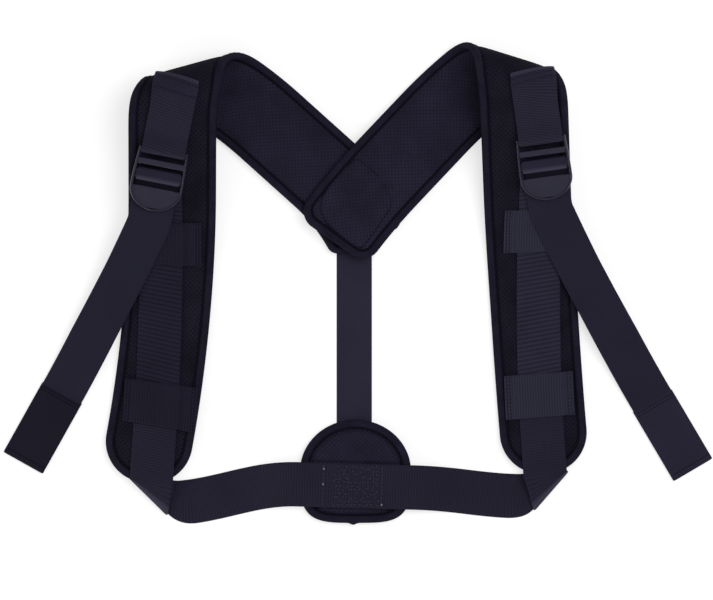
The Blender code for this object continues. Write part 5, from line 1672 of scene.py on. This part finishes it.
def rim_rings():
    """The cheeks and the D: a soft section down one side, round the end and up the other."""
    angle = np.linspace(0, math.pi / 2, 40)
    v = np.concatenate([np.linspace(-0.0022, TAB_START, 36), TAB_START + RIM_RUN * np.sin(angle)[1:]])
    half = outline_half(v)
    x, y = np.concatenate([half, -half[-2::-1]]), -np.concatenate([v, v[-2::-1]])
    dx, dy = unit(np.stack([np.gradient(x), np.gradient(y)], axis=1)).T
    past = -y - TAB_START
    wide = RIM_WIDE - RIM_NARROWS[0] * smooth(past / RIM_NARROWS[1])
    end = smooth(past / TAB_RUN)
    e, h = soft_section(1.0, BUCKLE_DEPTH, 2.3, 24)
    z = MID_DEPTH + (TAB_RISE * 0.5 * end)[:, None] + h[None, :] * (1 - RIM_FLATTER * end)[:, None]
    rim_x = x[:, None] + e * (wide * dy)[:, None]
    rim_y = y[:, None] - e * (wide * dx)[:, None]
    return np.stack([rim_x, rim_y, z], axis=-1)


def bar_rings(ends, z, tall, power):
    """A soft bar from cheek to cheek, between two places down the strap."""
    a, b = soft_section(ends[1] - ends[0], tall, power, 20)
    across = np.linspace(-1, 1, 24) * BAR_REACH
    y = a - (ends[0] + ends[1]) / 2
    return np.stack(np.broadcast_arrays(across[:, None], y[None, :], z + b[None, :]), axis=-1)


print("buckle", round((TAB_END + BAR_RADIUS) * 1000, 1), "mm long")

# %% [markdown]
# ## The thumb tab
# The tab fills the D. Its top is dished for the thumb and its underside rises towards the end, so
# that a finger gets under it. Its upper edge, under which the strap leaves, is rounded.

# %% The thumb tab of a buckle
TAB_DISH = 0.0005
TAB_NOSE = (0.0011, 0.0009)  # depth and reach of the rounded upper edge
TAB_LEVEL = 0.0013  # of the tab's top under the rim's
TAB_EARLY = 0.0006  # by which the tab starts before the D
TAB_INSIDE = 0.0004  # of the tab's edge within the rim's middle line
FINGER = 0.004  # from the tab's start to where its underside rises


def tab_rings():
    """Rows across the tab from its start to its end, each a flat ring with the dish on top."""
    share = np.linspace(0, 1, 40)
    row = TAB_START - TAB_EARLY + (TAB_END - TAB_RIM - TAB_START) * np.sin(share * math.pi / 2)
    edge = np.maximum(outline_half(np.maximum(row, TAB_START)) - TAB_INSIDE, 0.0002)
    u = np.sin(np.linspace(-math.pi / 2, math.pi / 2, 25))
    grid_x, grid_v = edge[:, None] * u, np.repeat(row[:, None], len(u), axis=1)
    nose = TAB_NOSE[0] * bell(row, row[0], TAB_NOSE[1])[:, None]
    dish = TAB_DISH * (1 - u[None, :] ** 2) * np.sin(share * math.pi)[:, None]
    top = UNDERSIDE + BUCKLE_DEPTH - TAB_LEVEL - dish - nose
    under = UNDERSIDE + TAB_RISE * eased(grid_v, (TAB_START + FINGER, TAB_RUN - FINGER)) + nose * 0.4
    return np.stack([ring_of(grid_x, grid_x), -ring_of(grid_v, grid_v), ring_of(top, under)], axis=-1)


print("thumb tab", round(TAB_RUN * 1000, 1), "mm long")

# %% [markdown]
# ## The buckles in place
# The rim, the three bars and the tab overlap a little and share one mesh, as one moulding does. The
# frame for each side is read off the panel's slope at the top bar, by two short steps.

# %% Buckles
def buckle_parts():
    """Rings of the rim, the round top bar, the first flat bar, the grip bar and the tab."""
    grip_z = UNDERSIDE + GAP + GRIP_THICK / 2
    return [
        rim_rings(),
        bar_rings((-BAR_RADIUS, BAR_RADIUS), 0.0, 2 * BAR_RADIUS, 2.0),
        bar_rings(FIRST_BAR, MID_DEPTH + 0.0001, BUCKLE_DEPTH - 0.0014, 3.0),
        bar_rings(GRIP_BAR, grip_z, GRIP_THICK, 3.0),
        tab_rings(),
    ]


def buckle(name, side):
    """All the sections of a buckle in one mesh, placed on the slope at the top bar."""
    zero = on_strip(side, 0.0, 0.0, BAR_N)
    x_axis = (on_strip(side, side["sign"] * STEP, 0.0, BAR_N) - zero) / STEP
    y_axis = (on_strip(side, 0.0, -STEP, BAR_N) - zero) / STEP
    turn = np.stack([x_axis, y_axis, np.cross(x_axis, y_axis)])
    points, faces, base = [], [], 0
    for rings in buckle_parts():
        flat = rings.reshape(-1, 3)
        quads = skin_faces(flat, *rings.shape[:2])
        faces.append(np.where(quads >= 0, quads + base, -1))
        points.append(flat @ turn + zero)
        base += len(flat)
    made = new_piece(f"{name}_ladder_lock", np.concatenate(points), np.concatenate(faces), [acetal])
    stand_in(made, f"{name}_buckle_body", "buckle_plastic", f"{name}_buckle")


for name, side in SIDES.items():
    buckle(name, side)
print("buckles made")
